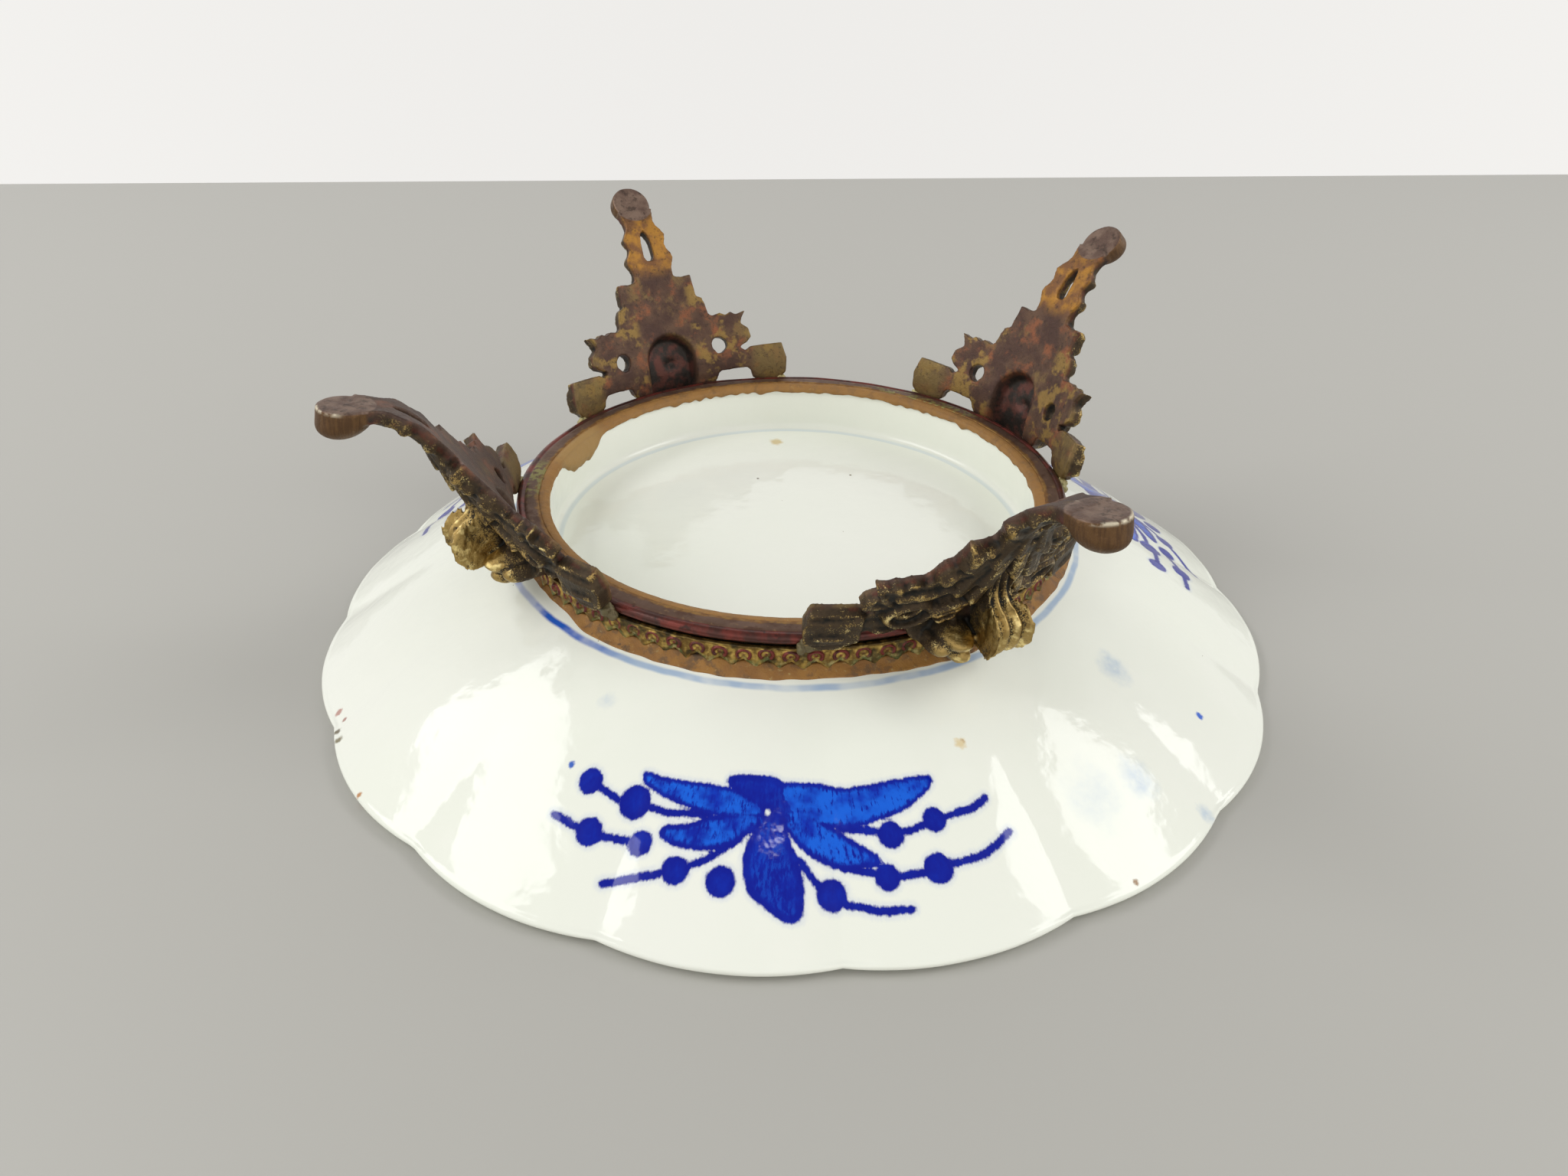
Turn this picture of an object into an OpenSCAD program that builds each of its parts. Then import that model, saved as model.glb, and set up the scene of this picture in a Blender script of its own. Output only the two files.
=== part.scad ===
// Scalloped porcelain dish with a cast and gilt metal mount round its foot ring.
// The dish lies face down on its rim and the four cast feet stand up.
// Millimetres, +Z up. The origin is the centre of the rim's lower plane.

/* [Dish] */
// Radius of the rim at the crest of a lobe
rim_r = 110.5; // [108:0.5:113]
// Radius of the arc that draws one lobe of the rim
lobe_arc_r = 60; // [55:1:80]
// Number of lobes round the rim
lobes = 16; // [8:1:24]
// Height of the glazed base inside the foot ring, from the rim plane
base_z = 23.5; // [22:0.5:26]
// Thickness of the porcelain
wall = 4; // [3:0.5:5]
// Height at which the outer slope meets the foot ring
slope_top_z = 27.5; // [27:0.1:29]
// Height of the rim's edge
rim_edge_h = 2.6; // [2:0.2:4]

/* [Collar] */
// Outer radius of the collar, at its bead
collar_r = 62.2; // [62:0.1:63]
// Inner radius of the flange that covers the foot ring
flange_inner_r = 57.2; // [56.5:0.1:58]
// Height of the flange's upper face, from the rim plane
flange_z = 36.2; // [35.5:0.1:37]
// Thickness of the flange
flange_h = 1.2; // [0.8:0.1:1.5]
// Number of loops stamped round the band
loops = 86; // [40:2:90]
// Width of one stamped loop
loop_d = 2.6; // [1.6:0.1:3]

/* [Feet] */
// Directions of the feet: back right, back left, front left, front right
foot_azimuths = [30, 120.5, 208, 300.5]; // [0:0.5:360]
// Height of the front pair's soles, from the rim plane
sole_z = 72.5; // [71:0.5:75]
// Lean of the front pair from upright
front_lean = 34; // [32:0.5:36]
// Lean of the back pair, which is bent inwards
back_lean = 24.6; // [22:0.2:30]
// Radius of the front pair's bend over to the toe
front_over_r = 17; // [15:1:19]
// Radius of the back pair's bend over to the toe
back_over_r = 30; // [26:1:34]
// Thickness of a foot's plate
plate = 3; // [2:0.25:4]
// Diameter of a toe
toe_d = 10; // [8:0.5:12]
// Depth of a toe below its sole
toe_h = 6.2; // [5:0.2:8]

/* [Hidden] */
$fn = 96;

// Foot ring of the dish
ring_in_r = 55.5;
ring_out_r = 60;
ring_top_z = flange_z - flange_h;
base_dome = 1;

// Outer slope of the dish: an arc through its ends with this much crown
slope_foot_r = 62;
slope_crown = 1.6;
rim_rest_r = [106.2, 108.2];

// Sheet of the collar and of the stamped band
collar_wall = 0.8;
bead_d = 2.2;
band_top_z = flange_z - bead_d - 0.6;
band_bottom_z = 29;
band_r = collar_r - 0.5;
band_t = 0.6;
loop_h = 2.2;
loop_bottom_z = 30.8;
cement_bottom_r = 64;
inner_cement_h = 4;
inner_cement_t = 0.5;

// Each foot as [azimuth, lean, radius of the bend over to its toe]
FEET = [
    [foot_azimuths[0], back_lean, back_over_r], [foot_azimuths[1], back_lean, back_over_r],
    [foot_azimuths[2], front_lean, front_over_r], [foot_azimuths[3], front_lean, front_over_r]
];

// Back of a foot's plate, by the distance s along it from the flange's plane: a bend out,
// a straight and a bend over, which starts at over_s on every foot
low_bend_r = 20;
deg = PI / 180;
front_straight = (sole_z - flange_z - low_bend_r * sin(front_lean)
    - front_over_r * (1 - sin(front_lean))) / cos(front_lean);
over_s = low_bend_r * front_lean * deg + front_straight;
toe_s = over_s + front_over_r * (90 - front_lean) * deg;
plate_end_s = toe_s - 3;
foot_bottom_s = -7.6;
foot_bottom_z = flange_z + foot_bottom_s;
toe_top_z = sole_z + 12;

// Half outline of a foot, laid flat: side offset and distance along the back
foot_half_outline = [
    [0, -4.7], [6, -4.7], [9, -3], [12, -0.2], [13, 2], [20.8, 2.5], [21.8, -0.4], [24, -2.7],
    [27.5, -2.5], [30, 1.2], [30.4, 6], [29.9, 9.2], [22, 8.4], [20.6, 7.3], [19.2, 8.6],
    [22.5, 10.8], [22.2, 13.6], [20.8, 15], [22.4, 17.8], [13, 17.2], [12.4, 20.4], [11.8, 22.4],
    [10.3, 22.8], [10.1, 28.5], [5.5, 28.5], [5.4, 30.6], [6, 32.4]
];
// Half outline of the neck, which carries on from it: distance along the back and side offset
neck_half_outline = [
    [32, 5.9], [33.7, 6.3], [35.8, 5.3], [37.2, 4.9], [39.7, 5.7], [42.6, 3.9], [plate_end_s, 3.9]
];
side_hole_d = 4.2;
side_hole = [13.8, 45.3];
neck_slot_s = [33.9, 40];
neck_slot_w = 2;
recess_w = 14.6;
recess_top_z = 49;
recess_depth = 6;
scroll_half_w = 4.4;
scroll_c = [collar_r + 11.6, 38.2];
scroll_r = 4.4;
side_boss = [4.8, 7.4, 35.4];
side_boss_d = 9;
solder_d = 3.4;
solder_angle = 27.6;

function polar(r, a) = [r * cos(a), r * sin(a)];
// Angle from upright of a foot's back at s
function lean_at(s, f) =
    s < over_s ? max(0, min(f[1], s / low_bend_r / deg)) : f[1] + (s - over_s) / f[2] / deg;
// Distance from the axis and height of a foot's back at s
function back_at(s, f) =
    s < 0 ? [collar_r, flange_z + s]
    : let (
        a = lean_at(min(s, over_s), f),
        bend = [collar_r, flange_z] + low_bend_r * [1 - cos(a), sin(a)],
        flat = max(0, min(s, over_s) - low_bend_r * f[1] * deg) * [sin(f[1]), cos(f[1])],
        b = lean_at(max(s, over_s), f),
        over = f[2] * [cos(f[1]) - cos(b), sin(b) - sin(f[1])]
    ) bend + flat + over;
// The same, moved out from the back by n
function front_at(s, f, n) = back_at(s, f) + n * [cos(lean_at(s, f)), -sin(lean_at(s, f))];
// Points along an arc between two angles, as seen from its centre
function arc(c, r, a0, a1, n = 10) = [for (i = [0:n]) c + polar(r, a0 + (a1 - a0) * i / n)];
// Points along a shallow arc from p to q, bulging to the left of the way by crown
function crowned(p, q, crown, n = 12) =
    let (d = q - p, side = [-d[1], d[0]] / norm(d))
    [for (i = [0:n]) p + d * i / n + side * crown * 4 * (i / n) * (1 - i / n)];
function mirrored(half) =
    concat(half, [for (i = [len(half) - 1:-1:0]) if (half[i][0] > 0) [-half[i][0], half[i][1]]]);

// The rim's outline: equal lobes with sharper notches between them
module rim_outline() {
    for (i = [0:lobes - 1])
        rotate(4.7 + (i + 0.5) * 360 / lobes)
            translate([rim_r - lobe_arc_r, 0])
                circle(r = lobe_arc_r);
}

// Cross-section of the dish, from its axis outwards
module dish_section() {
    rim_top = [rim_r + 0.5, rim_edge_h];
    rim_under = [rim_r + 0.5, rim_edge_h * 0.6];
    well_z = base_z - wall;
    polygon(concat(
        [[0, base_z + base_dome], [30, base_z + base_dome * 0.6]],
        arc([ring_in_r - 2, base_z + 2], 2, -90, 0, 5),
        [[ring_in_r, ring_top_z], [ring_out_r, ring_top_z]],
        arc([slope_foot_r + 0.6, slope_top_z + 1.6], 2, 180, 235, 5),
        crowned([slope_foot_r + 1.4, slope_top_z], rim_top, slope_crown),
        [rim_under, [rim_rest_r[1], 0], [rim_rest_r[0], 0]],
        crowned([rim_rest_r[0] - 2, 1.2], [66, well_z + 1.2], -slope_crown),
        [[58, well_z + 0.3], [0, well_z]]
    ));
}

// Dish of glazed porcelain, face down
module porcelain_dish() {
    color("#eef1ea")
        intersection() {
            rotate_extrude()
                dish_section();
            linear_extrude(height = sole_z)
                rim_outline();
        }
}

// Cement that beds the flange on the foot ring and laps its inner wall
module foot_ring_cement() {
    color("#a9722b")
        rotate_extrude()
            polygon([
                [ring_in_r, ring_top_z], [ring_in_r, ring_top_z - inner_cement_h],
                [ring_in_r - inner_cement_t, ring_top_z - inner_cement_h + 0.4],
                [ring_in_r - inner_cement_t, ring_top_z + 0.5], [ring_in_r + 0.4, flange_z - 0.1],
                [flange_inner_r, flange_z - 0.1], [flange_inner_r, ring_top_z]
            ]);
}

// Cement between the foot ring and the collar, spread out on the slope below
module collar_cement() {
    color("#9a6526")
        rotate_extrude()
            polygon([
                [ring_out_r, ring_top_z], [collar_r - collar_wall - 0.7, ring_top_z],
                [collar_r - collar_wall - 0.7, band_bottom_z], [collar_r - 0.2, band_bottom_z],
                [cement_bottom_r, slope_top_z + 0.2], [cement_bottom_r, slope_top_z - 0.3],
                [slope_foot_r + 1.4, slope_top_z], [slope_foot_r, slope_top_z + 0.3],
                [ring_out_r + 0.6, slope_top_z + 1.6]
            ]);
}

// Flat flange, half-round bead and the short wall behind the band
module collar_ring() {
    color("#5d2f2c")
        rotate_extrude() {
            translate([flange_inner_r, ring_top_z])
                square([collar_r - bead_d / 2 - flange_inner_r, flange_h]);
            translate([collar_r - bead_d / 2, flange_z - bead_d / 2])
                circle(d = bead_d, $fn = 32);
            translate([collar_r - collar_wall - 0.7, band_bottom_z])
                square([collar_wall, flange_z - 0.6 - band_bottom_z]);
        }
}

// Strip stamped with a row of raised loops, soldered round the collar
module gallery_band() {
    color("#7a5a22") {
        rotate_extrude()
            translate([band_r - band_t, band_bottom_z])
                square([band_t, band_top_z - band_bottom_z]);
        translate([0, 0, loop_bottom_z])
            linear_extrude(height = loop_h)
                difference() {
                    union() {
                        circle(r = band_r);
                        for (i = [0:loops - 1])
                            rotate(i * 360 / loops)
                                translate([collar_r - loop_d / 2, 0])
                                    circle(d = loop_d, $fn = 32);
                    }
                    circle(r = band_r - band_t);
                }
    }
}

// Cross-section of a foot's plate, by distance from the axis and height
module plate_section(f) {
    steps = concat([foot_bottom_s], [for (i = [0:10]) over_s * i / 10],
        [for (i = [1:8]) over_s + (plate_end_s - over_s) * i / 8]);
    polygon(concat(
        [for (s = steps) back_at(s, f)],
        [for (i = [len(steps) - 1:-1:0]) front_at(steps[i], f, plate)]
    ));
}

// Outline of a foot's plate: its lower part seen along the radius, its neck seen from above
module plate_outlines(f) {
    neck = [for (p = neck_half_outline) [back_at(p[0], f)[0], p[1]]];
    translate([collar_r - 8, 0, 0])
        rotate([90, 0, 90])
            linear_extrude(height = 30)
                polygon(mirrored([for (p = foot_half_outline) [p[0], back_at(p[1], f)[1]]]));
    linear_extrude(height = toe_top_z)
        for (side = [0, 1])
            mirror([0, side])
                polygon(concat([[neck[0][0], 0]], neck, [[neck[len(neck) - 1][0], 0]]));
}

// Scroll that overhangs the collar at the bottom of a foot
module scroll_section() {
    polygon(concat(
        [[collar_r + 2, foot_bottom_z]],
        [[collar_r + 8, foot_bottom_z - 1.2]],
        arc(scroll_c, scroll_r, -100, 60, 10),
        [[71.4, 44.5], [69.6, 50], [67, 50], [64.5, 40]]
    ));
}

// One cast foot, at azimuth zero
module cast_foot(f) {
    slot = [for (s = neck_slot_s) back_at(s, f)[0]];
    difference() {
        union() {
            intersection() {
                rotate_extrude()
                    plate_section(f);
                plate_outlines(f);
            }
            translate([0, scroll_half_w, 0])
                rotate([90, 0, 0])
                    linear_extrude(height = 2 * scroll_half_w)
                        scroll_section();
            for (side = [-1, 1])
                translate([collar_r + side_boss[0], side * side_boss[1], side_boss[2]])
                    sphere(d = side_boss_d, $fn = 48);
            toe_knob(f);
        }
        cylinder(r = collar_r, h = toe_top_z);
        foot_recess();
        for (side = [-1, 1])
            translate([collar_r - 8, side * side_hole[0], side_hole[1]])
                rotate([0, 90, 0])
                    cylinder(d = side_hole_d, h = 20, $fn = 32);
        translate([slot[0], -neck_slot_w / 2, sole_z / 2])
            cube([slot[1] - slot[0], neck_slot_w, sole_z / 2 + 10]);
    }
}

// Toe: a flat sole with a straight edge and a rounded underside
module toe_knob(f) {
    toe = back_at(toe_s, f);
    translate([toe[0], 0, toe[1]])
        rotate([0, lean_at(toe_s, f) - 90, 0])
            mirror([0, 0, 1])
                rotate_extrude()
                    toe_section();
}

// Half section of the toe, from its sole down
module toe_section() {
    polygon(concat(
        [[0, 0], [toe_d / 2, 0], [toe_d / 2, toe_h * 0.42]],
        [for (a = [22.5:22.5:90]) [toe_d / 2 * cos(a), toe_h * (0.42 + 0.58 * sin(a))]]
    ));
}

// Arched hollow in the back of a foot
module foot_recess() {
    translate([collar_r - 1, 0, 0])
        rotate([90, 0, 90])
            linear_extrude(height = recess_depth + 5)
                union() {
                    translate([-recess_w / 2, flange_z + 0.5])
                        square([recess_w, recess_top_z - flange_z - recess_w / 2]);
                    translate([0, recess_top_z - recess_w / 2])
                        circle(d = recess_w);
                }
}

module placed_foot(i) {
    color("#5a4520")
        rotate(FEET[i][0])
            cast_foot(FEET[i]);
}

// Solder where a foot's arms meet the collar
module placed_solder(i) {
    color("#a7a257")
        for (side = [-1, 1])
            rotate(FEET[i][0] + side * solder_angle)
                difference() {
                    translate([collar_r + 0.3, 0, 34.6])
                        sphere(d = solder_d, $fn = 32);
                    cylinder(r = collar_r, h = sole_z);
                }
}

porcelain_dish();
foot_ring_cement();
collar_cement();
collar_ring();
gallery_band();
placed_foot(0);  // foot_back_right
placed_foot(1);  // foot_back_left
placed_foot(2);  // foot_front_left
placed_foot(3);  // foot_front_right
placed_solder(0);  // solder_back_right
placed_solder(1);  // solder_back_left
placed_solder(2);  // solder_front_left
placed_solder(3);  // solder_front_right
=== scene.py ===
"""A scalloped blue and white dish, face down, with a cast and gilt mount on its foot ring."""
import math

import bmesh
import bpy
import numpy as np
from mathutils import Matrix, Vector
from mathutils.geometry import delaunay_2d_cdt


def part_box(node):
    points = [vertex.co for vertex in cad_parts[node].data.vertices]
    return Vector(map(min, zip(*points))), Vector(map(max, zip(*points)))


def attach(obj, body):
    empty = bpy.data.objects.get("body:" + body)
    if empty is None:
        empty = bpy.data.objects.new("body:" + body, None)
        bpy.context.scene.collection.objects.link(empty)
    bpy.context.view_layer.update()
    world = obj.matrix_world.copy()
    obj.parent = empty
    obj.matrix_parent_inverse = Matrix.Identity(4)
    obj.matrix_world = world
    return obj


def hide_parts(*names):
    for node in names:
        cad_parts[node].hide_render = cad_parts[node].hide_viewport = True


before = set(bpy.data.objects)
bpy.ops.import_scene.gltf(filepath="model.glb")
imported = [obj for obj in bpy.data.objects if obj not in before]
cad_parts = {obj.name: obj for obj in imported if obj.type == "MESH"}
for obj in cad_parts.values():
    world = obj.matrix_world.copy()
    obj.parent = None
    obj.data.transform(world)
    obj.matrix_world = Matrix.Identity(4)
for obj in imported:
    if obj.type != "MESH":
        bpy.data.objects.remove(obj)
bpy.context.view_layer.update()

MM = 0.001


# ---------------------------------------------------------------- sizes, in mm, from the frame

def top_of(node):
    """Height of the top of a node, in mm."""
    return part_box(node)[1].z / MM


FLANGE_Z = top_of("collar_ring")
COLLAR_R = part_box("collar_ring")[1].x / MM
SOLE_Z = top_of("foot_front_left")
RING_TOP_Z = top_of("porcelain_dish")
RIM_R = 110.5
LOBES = 16
LOBE_ARC_R = 60.0
NOTCH_AZ = math.radians(4.7)
BASE_Z = 23.5
RING_IN_R = 55.5
RING_OUT_R = 60.0
RECESS_R = 53.5
WELL_R = 66.0
WALL = 4.0
SLOPE_R = 63.4
SLOPE_Z = 27.5
SLOPE_CROWN = 1.6
FLANGE_IN_R = 57.2
FOOT_AZ = {"back_right": 30.0, "back_left": 120.5, "front_left": 208.0, "front_right": 300.5}
ARM_END_AZ = 27.7
SPRAY_AZ = (270.0, 22.0, 146.0)
SPRAY_R = 88.0
BLUE_LINE_R = 65.2
INNER_LINE_R = 53.8
CEMENT_TOP_Z = 29.4
BAND_TOP_Z = 33.35
BAND_FACE_R = 61.7
BAND_LOOPS = 86
LOOP_Z = 31.5


# ---------------------------------------------------------------- numeric helpers

def ease(a, b, x):
    """Smooth step from 0 at a to 1 at b."""
    t = np.clip((x - a) / (b - a), 0.0, 1.0)
    return t * t * (3 - 2 * t)


def waves(phi, seed, terms, amount):
    """A smooth random function round the axis: a few cosines with seeded phases."""
    rng = np.random.default_rng(seed)
    total = np.zeros_like(phi)
    for k in terms:
        total += rng.normal() * np.cos(k * phi + rng.uniform(0, 2 * math.pi))
    return amount * total / math.sqrt(len(terms))


def lattice(points, cell, seed):
    """Value noise in -1..1 at points (N, 3), on a lattice with the given cell."""
    table = np.random.default_rng(seed).uniform(-1, 1, 4096)
    q = np.asarray(points) / cell
    low = np.floor(q).astype(np.int64)
    f = q - low
    f = f * f * (3 - 2 * f)
    out = np.zeros(len(q))
    for bit in np.ndindex(2, 2, 2):
        c = (low + bit) * (73856093, 19349663, 83492791)
        corner = (c[:, 0] ^ c[:, 1] ^ c[:, 2]) & 4095
        out += np.prod(np.where(bit, f, 1 - f), axis=1) * table[corner]
    return out


def cloud(points, cell, seed, octaves=3):
    """Smooth random values at points, with finer layers added."""
    return sum(lattice(points, cell / 2 ** k, seed + k) / 2 ** k for k in range(octaves))


def spread(row, n):
    """The same section at each of n azimuths."""
    return np.repeat(np.asarray(row, float)[None, :], n, 0)


def azimuths(n):
    """A column of n equal steps round the axis, in radians."""
    return np.arange(n)[:, None] * 2 * math.pi / n


def arc_points(centre, radius, a0, a1, n):
    """Points of an arc, its ends in degrees."""
    a = np.radians(np.linspace(a0, a1, n))
    return np.stack([centre[0] + radius * np.cos(a), centre[1] + radius * np.sin(a)], 1)


# ---------------------------------------------------------------- mesh helpers

def new_object(name, verts, faces, unit=MM):
    """An object in the scene from points in mm."""
    mesh = bpy.data.meshes.new(name)
    mesh.from_pydata((np.asarray(verts) * unit).tolist(), [], [list(map(int, f)) for f in faces])
    obj = bpy.data.objects.new(name, mesh)
    bpy.context.scene.collection.objects.link(obj)
    return obj


def piece(name, verts, faces, body="root"):
    """A smooth-shaded object from points in mm."""
    obj = new_object(name, verts, faces)
    obj.data.validate()
    obj.data.shade_smooth()
    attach(obj, body)
    return obj


def ring_faces(n, k, closed_section):
    """Quads of a surface of n azimuth steps and k section points."""
    a = np.arange(n)[:, None]
    b = (a + 1) % n
    rows = k if closed_section else k - 1
    j = np.arange(rows)[None, :]
    j1 = (j + 1) % k
    quads = np.stack([a * k + j, a * k + j1, b * k + j1, b * k + j], -1)
    return quads.reshape(-1, 4)


def turned(r, z, phi):
    """Points of a turned surface: a section of r and z at each azimuth of the column phi."""
    return np.stack(np.broadcast_arrays(r * np.cos(phi), r * np.sin(phi), z), -1).reshape(-1, 3)


def add_attribute(obj, name, values):
    """A vector per vertex that the materials read."""
    layer = obj.data.attributes.new(name, "FLOAT_VECTOR", "POINT")
    layer.data.foreach_set("vector", np.asarray(values, np.float32).reshape(-1))


# ---------------------------------------------------------------- the dish

def rim_radius(phi):
    """Distance from the axis to the rim: equal lobes with sharper notches, a little warped."""
    step = 2 * math.pi / LOBES
    theta = (phi - NOTCH_AZ) % step - step / 2
    c = RIM_R - LOBE_ARC_R
    lobed = c * np.cos(theta) + np.sqrt(LOBE_ARC_R ** 2 - (c * np.sin(theta)) ** 2)
    warp = -1.0 * (1 - np.cos(phi + math.radians(30)))
    return lobed + warp + waves(phi, 3, range(3, 9), 0.12), theta / step * 2


def slope_height(r, rim):
    """Height of the crowned slope between the foot ring and the rim."""
    w = (r - SLOPE_R) / (rim - SLOPE_R)
    return SLOPE_Z + (LIP[0][1] - SLOPE_Z) * w + SLOPE_CROWN * 4 * w * (1 - w)


def dish_azimuths():
    """A column of azimuths in radians, closer together where the sprays are painted."""
    fine, coarse = math.radians(0.32), math.radians(0.95)
    out, a = [], 0.0
    while a < 2 * math.pi:
        out.append(a)
        away = min(abs((a - math.radians(c) + math.pi) % (2 * math.pi) - math.pi) for c in SPRAY_AZ)
        a += fine if away < math.radians(28) else coarse
    return np.array(out[:-1])[:, None]


# Outline of the rim's edge: distance beyond the rim's radius and height, from the slope round
# under the rim to the well
LIP = [
    (-0.85, 2.8), (-0.42, 2.62), (-0.1, 2.3), (0.0, 1.9), (-0.1, 1.45), (-0.45, 0.95), (-1.0, 0.5),
    (-1.7, 0.2), (-2.5, 0.05), (-3.3, 0.2), (-4.0, 0.6)
]


def make_dish():
    """The scalloped dish, face down, as one turned skin with its painted sprays."""
    phi = dish_azimuths()
    n = len(phi)
    rim, lobe = rim_radius(phi)
    recess = [(r, BASE_Z + 1.0 - (r / RECESS_R) ** 2) for r in np.linspace(2, RECESS_R, 12)]
    ring = list(arc_points((RECESS_R, BASE_Z + 2), 2, -80, 0, 5))
    ring += list(np.linspace((RING_IN_R, BASE_Z + 3.4), (RING_IN_R + 0.1, RING_TOP_Z - 0.8), 5))
    ring += list(arc_points((RING_IN_R + 0.9, RING_TOP_Z - 0.8), 0.8, 150, 90, 3))
    ring += list(arc_points((RING_OUT_R - 0.8, RING_TOP_Z - 0.8), 0.8, 90, 0, 3))
    ring += list(arc_points((RING_OUT_R + 2.5, SLOPE_Z + 2.6), 2.3, 180, 240, 5))
    fixed = np.array(recess + ring)
    # the slope: flutes that deepen outwards from w = 0 to 1, faint ribs, and a little unevenness
    w = np.hstack([np.linspace(0, 0.4, 13)[:-1], np.linspace(0.4, 0.9, 47)[:-1], np.linspace(0.9, 1, 9)])
    end = rim + LIP[0][0]
    slope_r = SLOPE_R + (end - SLOPE_R) * w
    groove = np.abs(lobe) ** 2.6
    strength = 0.36 * (1 + waves(phi, 12, range(2, 9), 0.25))
    ribs = 0.05 * np.cos(3 * math.pi * lobe)
    uneven = waves(phi, 11, range(2, 7), 0.16)
    relief = -strength * ease(0.42, 1.0, w) * groove + ribs * ease(0.3, 0.8, w) + uneven * ease(0.1, 0.7, w)
    # the lip, then the well and its floor
    lip = np.array(LIP)[1:]
    lift = 0.25 * np.abs(lobe) ** 4
    lip_z = lip[:, 1] + relief[:, -1:] * ease(0.4, 2.8, lip[:, 1]) + lift
    well_w = np.linspace(0.96, 0.02, 18)
    well_r = WELL_R + (rim + LIP[-1][0] - WELL_R) * well_w
    well_z = 0.6 + (BASE_Z - WALL) * (1 - well_w) + 4.8 * well_w * (1 - well_w)
    well_z = well_z - 0.5 * ease(0.5, 0.96, well_w) * groove * (0.98 - well_w) / 0.5 + lift
    floor_r = np.array([64.5, 62, 58, 50, 30, 2])
    floor_z = BASE_Z - WALL + 0.5 * ease(50, WELL_R, floor_r)
    r = np.hstack([spread(fixed[:, 0], n), slope_r, rim + lip[:, 0], well_r, spread(floor_r, n)])
    slope_z = slope_height(slope_r, end) + relief
    z = np.hstack([spread(fixed[:, 1], n), slope_z, lip_z, well_z, spread(floor_z, n)])
    k = r.shape[1]
    verts = turned(r, z, phi)
    verts[:, 2] += 0.12 * cloud(verts, 24, 5) * ease(0, 6, verts[:, 2])
    faces = ring_faces(n, k, False).tolist()
    top, bottom = len(verts), len(verts) + 1
    verts = np.vstack([verts, [0, 0, BASE_Z + 1.0], [0, 0, BASE_Z - WALL]])
    for a in range(n):
        b = (a + 1) % n
        faces += [(top, a * k, b * k), (bottom, b * k + k - 1, a * k + k - 1)]
    dish = piece("dish_porcelain", verts, faces)
    paint = spray_paint(verts)
    column = np.append(np.tile(np.arange(k), n), [-1, -1])
    paint[(column < len(fixed) - 1) | (column >= len(fixed) + len(w))] = (9.0, 0.5, 0.0)
    add_attribute(dish, "paint", paint)
    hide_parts("porcelain_dish")
    return dish


# Marks on the glaze: azimuth, distance from the axis, size, and strength or colour
SMUDGES = [
    (323.5, 81, 2.4, 0.8), (312.7, 96.7, 2.8, 0.7), (317.7, 107.5, 1.3, 0.8), (306, 95, 4.0, 0.3),
    (242, 73.5, 1.2, 0.4)
]
SPOTS = [
    (328.1, 98, 0.75, (58, 104, 205)), (293.4, 78.8, 0.4, (150, 96, 40)),
    (293.0, 79.1, 0.9, (224, 208, 168)), (304.6, 108.9, 0.5, (146, 112, 70)),
    (205.7, 105.7, 0.7, (190, 150, 140)), (207.5, 105, 0.5, (176, 140, 130)),
    (208.6, 106.9, 0.7, (120, 112, 92)), (210.2, 107.2, 0.8, (132, 124, 98)),
    (219.9, 108.6, 0.5, (190, 140, 96)), (242.3, 85.7, 0.55, (60, 100, 190)),
    (95, 46, 1.6, (214, 196, 150)), (60, 30, 0.3, (110, 100, 80)), (110, 25, 0.3, (100, 90, 75))
]


# ---------------------------------------------------------------- the painted sprays

# One spray laid flat, in mm: u round the dish, v out from its axis. Berries with their
# diameters, stems as lines of points, and leaves as outlines, each with how pale its wash is.
BERRIES = [
    (-37.3, 86.9, 4.6), (-27.9, 87.9, 5.7), (-33.7, 94.3, 4.7), (-24.8, 93.8, 4.2), (-17.9, 97, 4.5),
    (-10.6, 97.8, 4.7), (6.3, 98.7, 4.9), (17, 91.2, 4.4), (25, 90, 4.2), (15.1, 97.2, 4.1),
    (23.4, 97.2, 4.8)
]
STEMS = [
    [(-35.5, 87.2), (-31, 88.4)], [(-25.4, 88), (-21.7, 88.6), (-13.8, 88.1)], [(-41, 93.7), (-36, 94.3)],
    [(-31.3, 94.3), (-26.3, 93.5)], [(-28.9, 100.6), (-24.6, 99), (-19.6, 97.5)],
    [(-16, 96.2), (-13.3, 94.9), (-8.4, 91.4)], [(35.5, 88.5), (31.6, 89.7), (27.2, 89.9)],
    [(22.9, 90.5), (19.2, 91)], [(15, 90.5), (8.4, 89.1)], [(37.3, 94.5), (31.6, 96.7), (25.6, 97.1)],
    [(21.1, 97.5), (16.9, 97.2)], [(13.6, 96.6), (8.3, 94.9)], [(1.5, 94), (4.2, 97.4)],
    [(8.3, 100), (13, 101.7), (17.9, 102.1)]
]
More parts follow.
